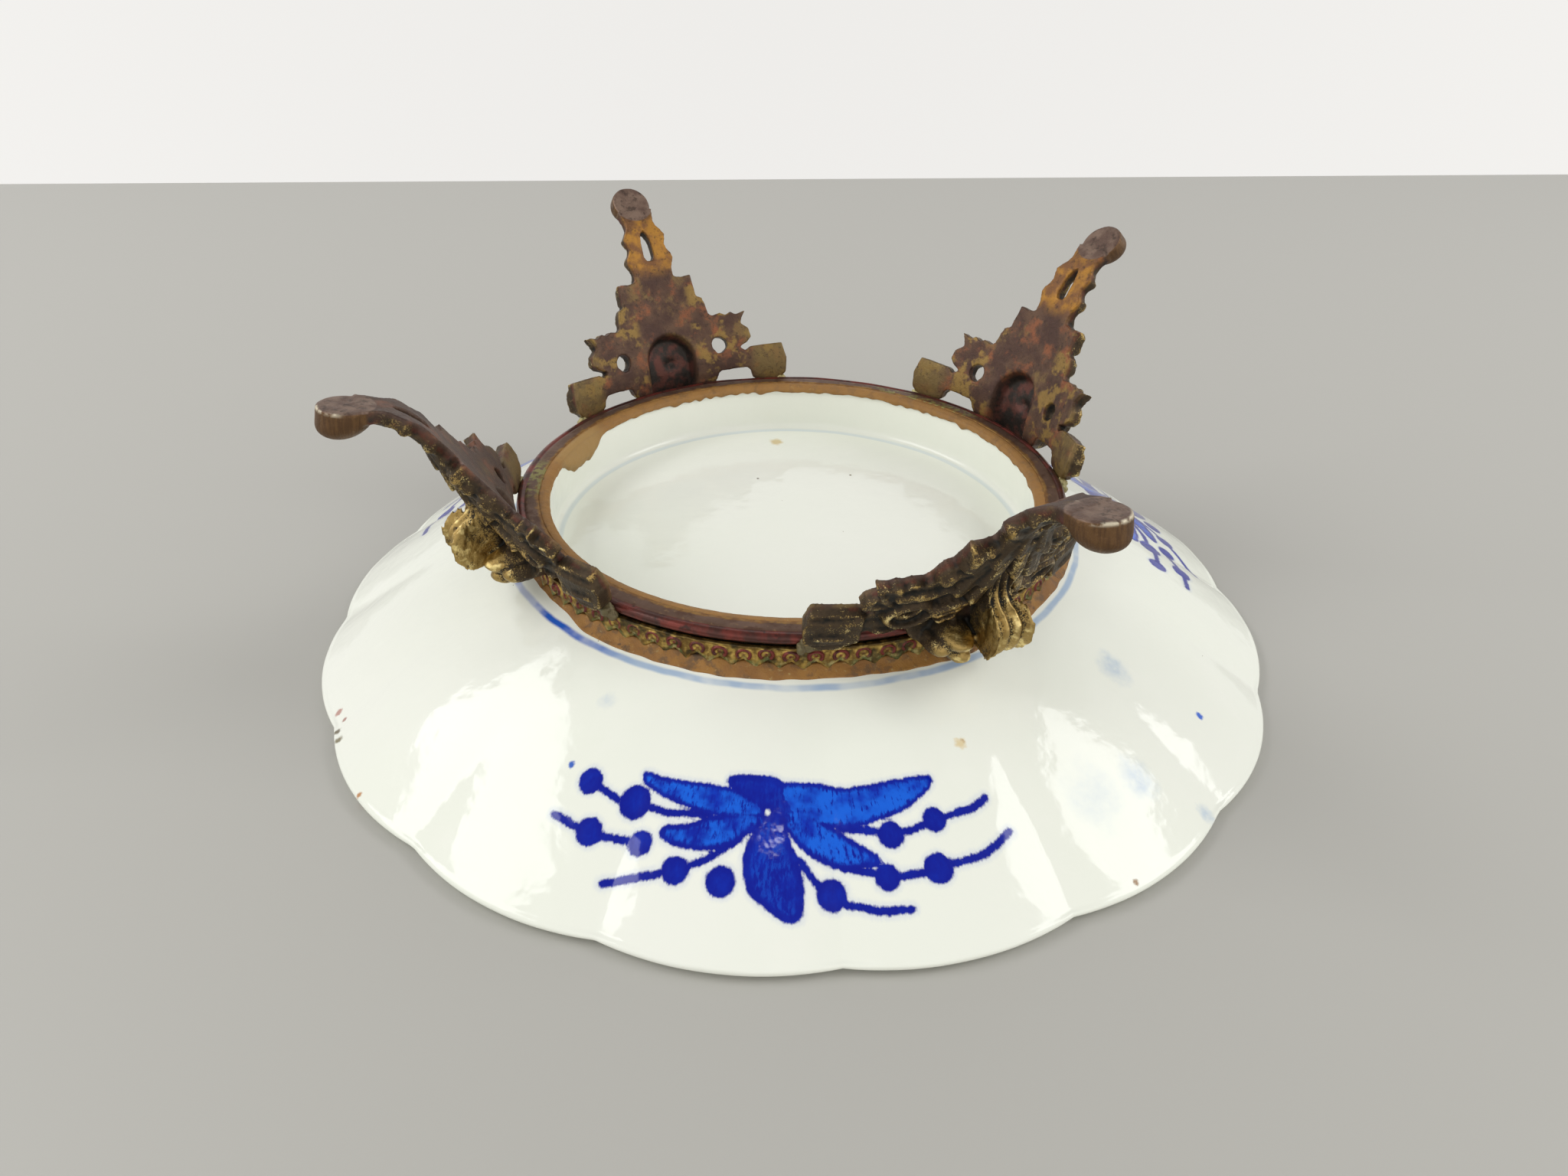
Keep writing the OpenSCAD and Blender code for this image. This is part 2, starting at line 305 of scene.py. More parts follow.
LEAVES = [
    (0.75, [(-28.1, 82.8), (-23.4, 83.7), (-15.8, 83.4), (-10.7, 83.7), (-5, 85.6), (-5, 88), (-13.5, 87.9),
            (-18.5, 87.1), (-24, 85.8), (-27.6, 84.4)]),
    (0.3, [(-12.6, 81.9), (-7.2, 81.2), (-2.1, 81.7), (1.2, 84.6), (1.6, 88), (-4, 88), (-9.4, 84.4)]),
    (0.8, [(-2.6, 82.6), (4, 82.1), (9, 83.3), (15.3, 83.3), (26.6, 82.9), (26.4, 84.2), (23.5, 86.1),
           (18.5, 88), (11.8, 89.1), (7.8, 88.7), (-1.2, 88)]),
    (0.55, [(-21.9, 91.9), (-21.3, 90.7), (-17.5, 90.3), (-13.4, 88.3), (-7, 87.2), (-3.4, 88.2),
            (-6.4, 89.7), (-9.4, 92.1), (-12.5, 93.4), (-16.9, 93.4), (-20.6, 92.9)]),
    (0.6, [(-0.7, 86), (2.8, 86.7), (7.8, 89.2), (10.8, 91.9), (14.4, 94.4), (14.2, 95.4), (7.8, 95),
           (3.6, 93.4), (1, 91.2), (-1.2, 88.6)]),
    (0.35, [(-4.6, 87.2), (-6.9, 91.8), (-7.4, 95.3), (-6.1, 98.7), (-3.4, 100.9), (-0.4, 102.7),
            (1.5, 102.3), (1.9, 98.3), (1.1, 94), (-0.6, 90.4), (-1.6, 87.2)])
]


def segment_gap(p, a, b):
    """Distance of points p (N, 2) from the segment a b."""
    a, b = np.array(a, float), np.array(b, float)
    d = b - a
    k = np.clip(((p - a) @ d) / max(d @ d, 1e-9), 0, 1)
    return np.hypot(*(p - a - k[:, None] * d).T)


def outline_gap(p, loop):
    """Signed distance from a closed outline, negative inside it."""
    gap = np.full(len(p), 99.0)
    for a, b in zip(loop, np.roll(loop, -1, 0)):
        gap = np.minimum(gap, segment_gap(p, a, b))
    return np.where(inside([loop], p), -gap, gap)


def rounded_loop(points):
    """A closed outline with its corners cut twice."""
    loop = np.array(points, float)
    for _ in range(2):
        after = np.roll(loop, -1, 0)
        loop = np.stack([0.8 * loop + 0.2 * after, 0.2 * loop + 0.8 * after], 1).reshape(-1, 2)
    return loop


def spray_paint(verts):
    """For each point of the dish: distance to the paint in mm, how pale its wash is, stem or not."""
    radius = np.hypot(verts[:, 0], verts[:, 1])
    azimuth = np.degrees(np.arctan2(verts[:, 1], verts[:, 0]))
    turn = np.stack([(azimuth - c + 180) % 360 - 180 for c in SPRAY_AZ], 1)
    local = turn[np.arange(len(turn)), np.argmin(np.abs(turn), 1)]
    near = (np.abs(local) < 29) & (radius > 79) & (radius < 105.5)
    p = np.stack([np.radians(local[near]) * SPRAY_R, radius[near]], 1)
    p = p + 0.18 * np.stack([lattice(verts[near], 3.0, 7), lattice(verts[near], 3.0, 8)], 1)
    gap, pale, stem = np.full(len(p), 9.0), np.full(len(p), 0.4), np.zeros(len(p))
    for wash, points in LEAVES:
        d = outline_gap(p, rounded_loop(points)) - 0.35
        pale = np.where(d < gap, wash, pale)
        gap = np.minimum(gap, d)
    bare_dot = 0.55 - np.hypot(p[:, 0] + 4, p[:, 1] - 87)
    gap = np.maximum(gap, bare_dot)
    strokes = [(segment_gap(p, a, b) - 0.62, 0.3, 1.0) for line in STEMS for a, b in zip(line, line[1:])]
    for u, v, wide in BERRIES:
        strokes.append((np.hypot(p[:, 0] - u, (p[:, 1] - v) * 1.04) - wide / 2, 0.25, 0.0))
    for d, wash, is_stem in strokes:
        pale = np.where(d < gap, wash, pale)
        stem = np.where(d < gap, is_stem, stem)
        gap = np.minimum(gap, d)
    out = np.tile([9.0, 0.4, 0.0], (len(verts), 1))
    out[near] = np.stack([gap, pale, stem], 1)
    return out


# ---------------------------------------------------------------- collar, band and cement

def turned_piece(name, section_r, section_z, phi):
    """A closed ring whose section runs round its outline."""
    n, k = section_r.shape
    faces = ring_faces(n, k, True)
    return piece(name, turned(section_r, section_z, phi), faces)


def make_collar():
    """The plain collar on the foot ring, with its bead."""
    n = 540
    phi = azimuths(n)
    bead_r = 1.08
    bead = (COLLAR_R - bead_r, FLANGE_Z - bead_r - 0.05)
    outline = [(FLANGE_IN_R + 0.12, FLANGE_Z), *[(r, FLANGE_Z) for r in np.linspace(57.9, 59.6, 5)]]
    outline += [(60.0, FLANGE_Z - 0.05), (60.25, FLANGE_Z - 0.18)]
    outline += list(arc_points(bead, bead_r, 125, -95, 18))
    outline += [(60.7, FLANGE_Z - 2.5), (60.7, 31.0), (60.0, 31.0), (60.0, RING_TOP_Z)]
    outline += [(57.4, RING_TOP_Z), (FLANGE_IN_R, RING_TOP_Z + 0.1), (FLANGE_IN_R, FLANGE_Z - 0.12)]
    outline = np.array(outline)
    dent = 0.8 * waves(phi, 21, range(4, 30), 0.05)
    edge = waves(phi, 22, range(9, 60), 0.05)
    r = outline[:, 0] + edge * (outline[:, 0] < 57.6) + dent * (outline[:, 0] > 60.2)
    z = outline[:, 1] + dent * (outline[:, 1] > RING_TOP_Z + 0.3)
    collar = turned_piece("collar_with_bead", r, np.minimum(z, FLANGE_Z), phi)
    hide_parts("collar_ring")
    return collar


def make_band():
    """Stamped strip: a row of open loops with a bead in each, and leaf points between them."""
    per_loop, rows = 26, 30
    n = BAND_LOOPS * per_loop
    phi = azimuths(n)
    pitch = 2 * math.pi * BAND_FACE_R / BAND_LOOPS
    step = np.arange(n)[:, None]
    rng = np.random.default_rng(31)
    shift = rng.normal(0, 0.12, (BAND_LOOPS, 2))[step[:, 0] // per_loop]
    worn = rng.uniform(0.55, 1.1, BAND_LOOPS)[step // per_loop]
    x = ((step % per_loop) / per_loop - 0.5) * pitch
    point = 1 - np.abs(x) / (pitch / 2)
    low = 28.2 + 1.9 * point ** 0.8 + waves(phi, 33, range(20, 90), 0.12)
    v = np.linspace(0, 1, rows)
    z = low + (BAND_TOP_Z - low) * v
    lx = x + shift[:, :1]
    lz = z - LOOP_Z - shift[:, 1:]
    rho = np.hypot(lx / 1.7, lz / 1.45)
    open_below = ease(28, 50, np.abs(np.degrees(np.arctan2(lz, lx)) + 90))
    loop = np.exp(-((rho - 0.74) / 0.22) ** 2) * open_below
    eye = np.exp(-(rho / 0.26) ** 2)
    leaf_x = pitch / 2 - np.abs(x)
    leaf = 0.28 * np.exp(-(leaf_x / 0.75) ** 2) * ease(31.6, 30.4, z)
    lip = 0.32 * np.exp(-((z - 33.1) / 0.2) ** 2)
    face = BAND_FACE_R + (0.72 * loop + 0.3 * eye) * worn + leaf + lip
    grain = 0.05 * cloud(turned(face, z, phi), 1.2, 34).reshape(face.shape)
    face = face + grain - 0.1 * (ease(0.06, 0.0, v) + ease(0.96, 1.0, v))
    r = np.hstack([face, spread([61.0, 61.0], n)])
    band = turned_piece("stamped_band", r, np.hstack([z, spread([BAND_TOP_Z], n), low]), phi)
    place = np.zeros((n, rows + 2, 3))
    place[:, :rows, 0] = (loop + 0.6 * eye) * worn
    place[:, :rows, 1] = v
    add_attribute(band, "band_place", place)
    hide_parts("gallery_band")
    return band


def make_outer_cement():
    """Ochre filling spread on the slope below the band, with one stretch nearly bare."""
    n = 720
    phi = azimuths(n)
    deg = np.degrees(phi)
    bare = ease(196, 206, deg) * ease(232, 222, deg)
    edge = 63.9 + waves(phi, 41, range(3, 12), 0.25) + waves(phi, 42, range(20, 90), 0.12) - 1.6 * bare
    z_top = CEMENT_TOP_Z - 0.5 * bare + waves(phi, 44, range(12, 60), 0.15)
    z_edge = slope_height(edge, RIM_R - 1.0) + 0.12
    rows = np.linspace(0, 1, 12)
    r = 61.4 + (edge - 61.4) * rows ** 1.05
    z = z_top + (z_edge - z_top) * rows ** 0.9
    pts = turned(r, z, phi)
    bumps = (0.28 * cloud(pts, 4, 43) + 0.1 * cloud(pts, 1.1, 45)).reshape(r.shape)
    r = r + bumps * np.sin(np.pi * np.clip(rows, 0.05, 0.97))
    r = np.hstack([r, edge - 0.2, spread([62.0, 60.4, 60.4], n)])
    z = np.hstack([z, z_edge - 0.5, spread([27.0, 28.2], n), z_top])
    cement = turned_piece("cement_outside", r, z, phi)
    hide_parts("collar_cement")
    return cement


def make_inner_cement():
    """Ochre bedding that laps the ring's inner wall raggedly, with one large run."""
    n = 900
    phi = azimuths(n)
    deg = np.degrees(phi)
    blob = ease(148, 156, deg) * ease(172, 162, deg)
    run = 0.7 + waves(phi, 51, range(3, 16), 0.2) + waves(phi, 52, range(30, 140), 0.22)
    run = np.maximum(run, 0.25) + 1.6 * ease(0.5, 1.3, waves(phi, 54, range(8, 40), 0.6)) + 4.6 * blob
    rows = np.linspace(0, 1, 12)
    top_r = np.linspace(FLANGE_IN_R + 0.1, RING_IN_R - 0.35, 7)
    top_z = FLANGE_Z - 0.12 - 0.5 * ease(0.2, 1, np.linspace(0, 1, 7)) ** 2
    wall_z = RING_TOP_Z - 0.2 - run * rows
    wall_r = RING_IN_R - 0.55 * (1 - rows ** 3) - 0.9 * blob * np.sin(np.pi * rows)
    r = np.hstack([spread(top_r, n), wall_r])
    z = np.hstack([spread(top_z, n), wall_z])
    pts = turned(r, z, phi)
    bumps = (0.12 * cloud(pts, 3, 53) + 0.05 * cloud(pts, 0.9, 55)).reshape(r.shape)
    r = np.hstack([r - np.abs(bumps), spread([RING_IN_R + 0.3, RING_IN_R + 0.3, FLANGE_IN_R + 0.1], n)])
    z = np.hstack([z, wall_z[:, -1:], spread([RING_TOP_Z, RING_TOP_Z], n)])
    cement = turned_piece("cement_inside", r, z, phi)
    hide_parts("foot_ring_cement")
    return cement


# ---------------------------------------------------------------- the cast feet

LOW_BEND_R = 20.0
FRONT_BEND = (math.radians(34), 17.0)
BACK_BEND = (math.radians(24.6), 30.0)
TOE_TIP = math.radians(8)
STRAIGHT = (
    SOLE_Z - FLANGE_Z - LOW_BEND_R * math.sin(FRONT_BEND[0]) - FRONT_BEND[1] * (1 - math.sin(FRONT_BEND[0]))
) / math.cos(FRONT_BEND[0])
OVER_S = LOW_BEND_R * FRONT_BEND[0] + STRAIGHT
TOE_S = OVER_S + FRONT_BEND[1] * (math.pi / 2 - FRONT_BEND[0])
EYE = (14.0, 8.8)


def foot_back(s, bend):
    """Distance from the axis, height and lean of a foot's back face, s mm up from the flange."""
    lean, over_r = bend
    s = np.asarray(s, float)
    low = np.clip(s / LOW_BEND_R, 0, lean)
    flat = np.maximum(np.minimum(s, OVER_S) - LOW_BEND_R * lean, 0)
    high = lean + np.maximum(s - OVER_S, 0) / over_r
    r = COLLAR_R + LOW_BEND_R * (1 - np.cos(low)) + flat * math.sin(lean)
    z = FLANGE_Z + np.minimum(s, 0) + LOW_BEND_R * np.sin(low) + flat * math.cos(lean)
    r = r + over_r * (math.cos(lean) - np.cos(high))
    z = z + over_r * (np.sin(high) - math.sin(lean))
    return r, z, np.where(s < OVER_S, low, high)


def foot_point(t, s, n, bend):
    """A point of the foot at azimuth zero: t across, s up the back face and n out from it."""
    r, z, lean = foot_back(s, bend)
    out = r + n * np.cos(lean)
    turn = np.arcsin(np.asarray(t, float) / r)
    return np.stack([out * np.cos(turn), out * np.sin(turn), z - n * np.sin(lean)], -1)


FOOT_HALF = [
    (0, -4.8), (6, -4.8), (9, -3.2), (12, -0.4), (12.8, 1.8), (13.6, 2.3), (20.4, 2.7), (21.3, 1.8),
    (21.8, -0.4), (23.8, -1.1), (24.2, -1.5), (27.6, -1.4), (28.6, -0.8), (30, 1.2), (30.4, 5),
    (29.9, 9.2), (22, 8.4), (20.6, 7.3), (19.1, 8.4), (21.4, 9.6), (22.7, 11), (22.4, 13.3),
    (20.7, 14.7), (21.2, 16), (22.5, 18), (19.8, 17.1), (18.6, 17.9), (17.2, 17.1), (15.8, 17.8),
    (13.5, 17.2), (12.6, 18), (12.4, 20.4), (11.8, 22.3), (10.4, 22.8), (10.2, 25.6), (10.1, 28.6),
    (7.4, 28.2), (5.5, 28.6), (5.3, 30.4), (5.7, 31.8), (6.3, 33.2), (6.2, 34.6), (5.3, 35.8),
    (4.9, 37.2), (5.4, 38.6), (5.7, 39.8), (5, 41.2), (4, 42.6), (3.9, 44.2)
]


def mirrored(half):
    """A closed outline from its half where t is not below zero."""
    return np.array(half + [(-t, s) for t, s in reversed(half) if t > 0.01])


def foot_outlines():
    """The foot's outline and its holes, as closed loops in (t, s)."""
    loops = [mirrored(FOOT_HALF + [(4.4, TOE_S - 3.4), (4.7, TOE_S - 2.2), (0, TOE_S - 2.2)])]
    hole = arc_points((EYE[0], EYE[1] + 0.6), 2.1, -20, 235, 12)
    hole = np.vstack([hole, [EYE[0] - 2.2, EYE[1] - 1.6], [EYE[0] + 0.4, EYE[1] - 1.7]])
    loops += [hole * (-1, 1), hole]
    loops.append(mirrored([(1.0, 33.4), (1.45, 34.6), (1.3, 38.6), (0.8, 40.6), (0, 41.3)]))
    return [densify(loop) for loop in loops]


def densify(loop, step=0.5):
    """The loop with points added so that none is further than step from the next."""
    out = []
    for a, b in zip(loop, np.roll(loop, -1, 0)):
        count = max(1, int(math.ceil(np.hypot(*(b - a)) / step)))
        out += [a + (b - a) * i / count for i in range(count)]
    return np.array(out)


def inside(loops, points):
    """Even-odd test of points (N, 2) against closed loops."""
    odd = np.zeros(len(points), bool)
    x, y = points[:, 0], points[:, 1]
    for loop in loops:
        for (x0, y0), (x1, y1) in zip(loop, np.roll(loop, -1, 0)):
            if y0 != y1:
                crosses = (y0 > y) != (y1 > y)
                odd ^= crosses & (x < (x1 - x0) * (y - y0) / (y1 - y0) + x0)
    return odd


def ridge(t, s, a, b, width, height, sharp=0.5):
    """A raised bar from a to b with a rounded or creased crest."""
    off = segment_gap(np.stack([t, s], 1), a, b) / width
    return height * np.clip(1 - off ** 2, 0, 1) ** sharp


def feather(t, s, root, tip, width, low, high):
    """A leaf of the plume: it widens and rises from its root, and ends in a blunt tip."""
    root, tip = np.array(root, float), np.array(tip, float)
    d = tip - root
    length = np.hypot(*d)
    k = ((t - root[0]) * d[0] + (s - root[1]) * d[1]) / length ** 2
    across = ((t - root[0]) * d[1] - (s - root[1]) * d[0]) / length
    kk = np.clip(k, 0, 1)
    blunt = np.sqrt(np.clip(1 - ((kk - 0.7) / 0.36).clip(0) ** 2, 0.0, 1))
    half = width * (0.35 + 0.65 * np.sqrt(kk)) * blunt
    off = np.abs(across) / np.maximum(half, 0.05)
    crown = np.sqrt(np.clip(1 - off ** 2, 0, 1))
    vein = 0.3 * np.exp(-(across / 0.3) ** 2)
    height = (low + (high - low) * kk ** 1.3) * (0.72 + 0.28 * crown) - vein
    return np.where((off < 1) & (k > 0) & (k < 1.02), height, 0)


# The carving, in (t, s) with t away from the middle. Leaves of the plume: root, tip, half width,
# and height at the root and the tip. Bars: height they stand on, ends, half width, height, crest.
PLUME = [
    ((2.4, 33), (7.6, 21.5), 1.9, 3.0, 4.2), ((2.0, 32), (5.4, 24.5), 1.5, 3.4, 5.2),
    ((1.2, 33), (2.2, 27), 1.3, 3.6, 5.4), ((3.4, 27), (8.0, 15.2), 2.0, 3.6, 5.2),
    ((2.0, 28), (4.6, 18.2), 1.7, 4.2, 6.2), ((0, 30), (0, 20.5), 1.6, 4.2, 6.6),
    ((2.0, 22), (4.8, 13.0), 1.5, 4.6, 6.6)
]
NECK_BARS = [(2.4, (5.3, 39.7), (3.6, 38.6), 1.2, 0.9), (2.4, (5.7, 33.6), (3.9, 32.4), 1.4, 1.0)]
LOW_BARS = [
    # round the volute, and the leaf beside it
    (2.3, (11.6, 14.4), (17.6, 14.9), 1.1, 1.7, 0.3), (2.3, (9.2, 15.4), (11.0, 14.0), 0.9, 1.5, 0.4),
    (2.2, (17.5, 11.5), (22.4, 17.6), 0.9, 1.2), (2.2, (18.0, 11.0), (22.4, 11.8), 0.9, 1.1),
    (2.2, (16.6, 13.0), (18.4, 17.2), 0.8, 1.0),
    # between the volute and the middle
    (2.4, (9.9, 10.2), (4.4, 11.9), 1.0, 3.4), (2.4, (9.4, 7.7), (4.6, 8.9), 0.8, 3.2),
    (2.4, (8.6, 5.6), (5.6, 6.4), 0.7, 3.4),
    # along the arms
    (2.0, (12.5, 4.0), (21.5, 5.2), 1.4, 1.1, 0.3), (2.6, (24.4, 2.4), (28.2, 2.8), 0.8, 1.9),
    (2.2, (14.0, 1.6), (18.6, 2.9), 0.7, 1.6)
]


def with_bars(h, t, s, bars):
    """Raise the height h to each bar, given as a base height and a ridge."""
    for base, *bar in bars:
        h = np.maximum(h, base + ridge(t, s, *bar))
    return h


def foot_relief(t, s):
    """How far the front of a foot stands out from its back face."""
    a = np.abs(t)
    h = np.where(s > 29, 2.6, 2.3)
    h = with_bars(h, t, s, [(2.5, (-2.6 + 1.3 * k, 31), (-2.0 + k, 44.5), 0.62, 0.9) for k in range(5)])
    h = with_bars(h, a, s, NECK_BARS)
    for leaf in PLUME:
        h = np.maximum(h, feather(a, s, *leaf))
    # stepped scrolls along the edges, with grooves across them
    for top, low, out, tall in ((28.4, 23.4, 9.1, 2.0), (22.0, 18.6, 10.8, 1.8)):
        h = with_bars(h, a, s, [
            (2.3, (out, top - 1.2), (out + 0.3, low + 0.6), 1.25, tall, 0.35),
            (2.3, (out - 2.3, low + 1.6), (out - 0.2, low + 0.3), 0.8, tall * 0.7),
            (2.3, (out - 2.6, top - 1.0), (out - 0.4, top - 0.7), 0.7, tall * 0.8)
        ])
    for k in range(7):
        h = h - ridge(a, s, (6.9, 18.8 + 1.5 * k), (12, 19.0 + 1.5 * k), 0.24, 0.35) * (a > 7.6)
    # volute round the eye
    dt, ds = a - EYE[0], s - EYE[1]
    for radius, tall in ((3.9 - 0.14 * np.arctan2(ds, dt), 2.6), (2.35, 1.5)):
        off = (np.hypot(dt, ds) - radius) / 0.85
        h = np.maximum(h, 2.2 + tall * np.sqrt(np.clip(1 - off ** 2, 0, 1)))
    h = with_bars(h, a, s, LOW_BARS)
    # leaves curling out beside the fluted boss
    for ct, cs, wide, tall in ((5.2, 0.9, 3.1, 9.0), (7.6, -1.4, 2.3, 6.4), (4.4, -3.2, 2.3, 7.6)):
        q = np.clip(1 - ((a - ct) / wide) ** 2 - ((s - cs) / (wide * 1.15)) ** 2, 0, 1)
        furrow = 0.25 * np.exp(-((a - ct + 0.25 * (s - cs)) / 0.5) ** 2) * (q > 0)
        h = np.maximum(h, 2.2 + tall * q ** 0.42 - furrow)
    # the arms' flags
    return np.maximum(h, np.where((a > 21.2) & (s > 0.6), 3.0 + 0.9 * ease(8.0, 6.8, s), 0))


def hollow(t, s):
    """Depth of the arched hollow in the back, with its small round sinking."""
    centre = 7.1
    wide = np.hypot(t, np.maximum(s - centre, 0)) / 7.2
    arch = ease(1.0, 0.72, wide)
    return 3.6 * arch + 1.2 * np.exp(-((t + 1.0) / 1.6) ** 2 - ((s - 6.0) / 1.6) ** 2)


def plate_shell(bend):
    """The foot's plate: flat back with its hollow, carved front, and walls along every outline."""
    loops = foot_outlines()
    step = 0.42
    gt, gs = np.meshgrid(np.arange(-31.5, 31.5, step), np.arange(-5, 54.5, step))
    gt = gt + (np.arange(gt.shape[0])[:, None] % 2) * step / 2
    grid = np.stack([gt.ravel(), gs.ravel()], 1)
    edge = np.vstack(loops)
    grid = grid[inside(loops, grid)]
    gap = np.min(np.hypot(grid[:, None, 0] - edge[None, ::2, 0], grid[:, None, 1] - edge[None, ::2, 1]), 1)
    grid = grid[gap > step * 0.6]
    points = np.vstack([edge, grid])
    edges, start = [], 0
    for loop in loops:
        edges += [(start + i, start + (i + 1) % len(loop)) for i in range(len(loop))]
        start += len(loop)
    flat, _, tris, *_ = delaunay_2d_cdt([Vector(p) for p in points], edges, [], 0, 1e-5)
    flat, tris = np.array([list(p) for p in flat]), np.array(tris)
    tris = tris[inside(loops, flat[tris].mean(1))]
    t, s = flat[:, 0], flat[:, 1]
    back = foot_point(t, s, hollow(t, s), bend)
    front = foot_point(t, s, np.maximum(foot_relief(t, s), hollow(t, s) + 1.2), bend)
    n = len(flat)
    faces = [tuple(f) for f in tris] + [tuple(n + f[::-1]) for f in tris]
    links = dict.fromkeys((int(f[i]), int(f[i - 2])) for f in tris for i in range(3))
    faces += [(j, i, n + i, n + j) for i, j in links if (j, i) not in links]
    return np.vstack([back, front]), faces


# Profile of the boss on a front foot, as distance from the axis and height: from under the plume
# down its belly and round the thick lip, then back inside the plate
BOSS = [
    (72.0, 56.0), (73.0, 52.8), (72.6, 49.8), (72.1, 47.6), (72.5, 45.8), (73.8, 44.4), (75.5, 43.4),
    (76.7, 42.1), (77.2, 40.4), (76.9, 38.2), (76.0, 36.3), (74.6, 35.0), (72.6, 34.4), (70.6, 34.8)
]


def boss_shell(bend):
    """Fluted leaf that hangs from the plume and curls out at the bottom."""
    corners = np.array([(r, 0, z) for r, z in BOSS])
    path = foot_place(corners, FRONT_BEND)[:, 1:]
    for _ in range(2):
        path = smooth_curve(path)
    run = np.linspace(0, 1, len(path))
    half = 2.4 + 1.0 * ease(0.12, 0.5, run) - 1.0 * ease(0.8, 1.0, run)
    tangent = np.gradient(path, axis=0)
    tangent /= np.hypot(tangent[:, 0], tangent[:, 1])[:, None]
    normal = np.stack([tangent[:, 1], -tangent[:, 0]], 1)
    across = np.linspace(-1, 1, 41)
    verts, k = [], len(path) + 3
    for v in across:
        flute = 0.58 * math.cos(3 * math.pi * v) - 1.0 * abs(v) ** 4
        body = path - normal * flute * ((0.4 + 0.6 * ease(0.0, 0.3, run)) * ease(1.0, 0.7, run))[:, None]
        closed = np.vstack([body, [-2.0, 4.4], [12.5, 4.4], [17.0, 1.0]])
        width = np.append(half, [2.4, 2.4, 2.0]) * v
        verts.append(foot_point(width, closed[:, 0], closed[:, 1], bend))
    count = len(across) * k
    faces = ring_faces(len(across), k, True)[:-k].tolist()
    faces += [range(k - 1, -1, -1), range(count - k, count)]
    return np.vstack(verts), faces


def smooth_curve(points):
    """One round of corner cutting that keeps the ends."""
    a, b = points[:-1], points[1:]
    cut = np.stack([0.75 * a + 0.25 * b, 0.25 * a + 0.75 * b], 1).reshape(-1, points.shape[1])
    return np.vstack([points[:1], cut[1:-1], points[-1:]])


def toe_frame(bend):
    """Where the toe's sole is centred, and the sine and cosine of the lean it is set at."""
    r, z, lean = foot_back(TOE_S, bend)
    return r, z, math.sin(lean - TOE_TIP), math.cos(lean - TOE_TIP)


def toe_shell(bend):
    """Toe knob: flat sole, straight edge and rounded underside, square to the neck's end."""
    section = [(0.0, 0.0), (3.0, 0.04), (4.5, 0.0), (4.85, -0.2), (4.98, -0.7), (4.95, -2.5)]
    section += [(4.9 * math.cos(a), -2.5 - 3.7 * math.sin(a)) for a in np.linspace(0.15, math.pi / 2, 9)]
    section = np.array(section)
    n, k = 64, len(section)
    x, y, up = turned(section[:, 0], section[:, 1], azimuths(n)).T
    x = x + 1.3 * ease(-1.5, -6.2, up)
    r, z, sine, cosine = toe_frame(bend)
    verts = np.stack([x * sine - up * cosine + r, y, x * cosine + up * sine + z], 1)
    return verts, ring_faces(n, k, False).tolist()


def toe_place(verts, bend):
    """Where points lie on the toe: angle round it, depth below the sole and distance from its axis."""
    r, z, sine, cosine = toe_frame(bend)
    x, up = verts[:, 0] - r, verts[:, 2] - z
    across, y = x * sine + up * cosine, verts[:, 1]
    return np.stack([np.arctan2(y, across), x * cosine - up * sine, np.hypot(across, y)], 1)


def joined(shells):
    """Several shells as one list of points and one of faces."""
    verts, faces, base = [], [], 0
    for v, f in shells:
        verts.append(v)
        faces += [tuple(int(i) + base for i in face) for face in f]
        base += len(v)
    return np.vstack(verts), faces


def mesh_data(mesh):
    """The points and faces of a mesh."""
    co = np.zeros(len(mesh.vertices) * 3, np.float32)
    mesh.vertices.foreach_get("co", co)
    return co.reshape(-1, 3), [tuple(p.vertices) for p in mesh.polygons]


def remeshed(shells, voxel):
    """One closed skin round the shells, as a casting has."""
    parts = []
    for verts, faces in shells:
        mesh = new_object("shell", verts, faces, 1.0).data
        work = bmesh.new()
        work.from_mesh(mesh)
        bmesh.ops.remove_doubles(work, verts=work.verts, dist=1e-4)
        bmesh.ops.recalc_face_normals(work, faces=work.faces)
        if work.calc_volume(signed=True) < 0:
            bmesh.ops.reverse_faces(work, faces=work.faces)
        work.to_mesh(mesh)
        work.free()
        parts.append(mesh_data(mesh))
        bpy.data.meshes.remove(mesh)
    obj = new_object("casting", *joined(parts), 1.0)
    skin = obj.modifiers.new("skin", "REMESH")
    skin.mode = "VOXEL"
    skin.voxel_size = voxel
    skin.use_smooth_shade = True
    done = bpy.data.meshes.new_from_object(obj.evaluated_get(bpy.context.evaluated_depsgraph_get()))
    bpy.data.objects.remove(obj)
    verts, faces = mesh_data(done)
    return verts.astype(float), faces


def mesh_edges(faces):
    """Each edge once, as a pair of point numbers."""
    pairs = set()
    for f in faces:
        for i, j in zip(f, f[1:] + f[:1]):
            pairs.add((i, j) if i < j else (j, i))
    return np.array(sorted(pairs))


def neighbour_mean(values, edges):
    """Mean of the values at the points next to each point."""
    out = np.zeros_like(values)
    count = np.bincount(edges.ravel(), minlength=len(values)).clip(1)
    for k in range(values.shape[1]):
        out[:, k] = np.bincount(edges[:, 0], values[edges[:, 1], k], len(values))
        out[:, k] += np.bincount(edges[:, 1], values[edges[:, 0], k], len(values))
    return out / count[:, None]


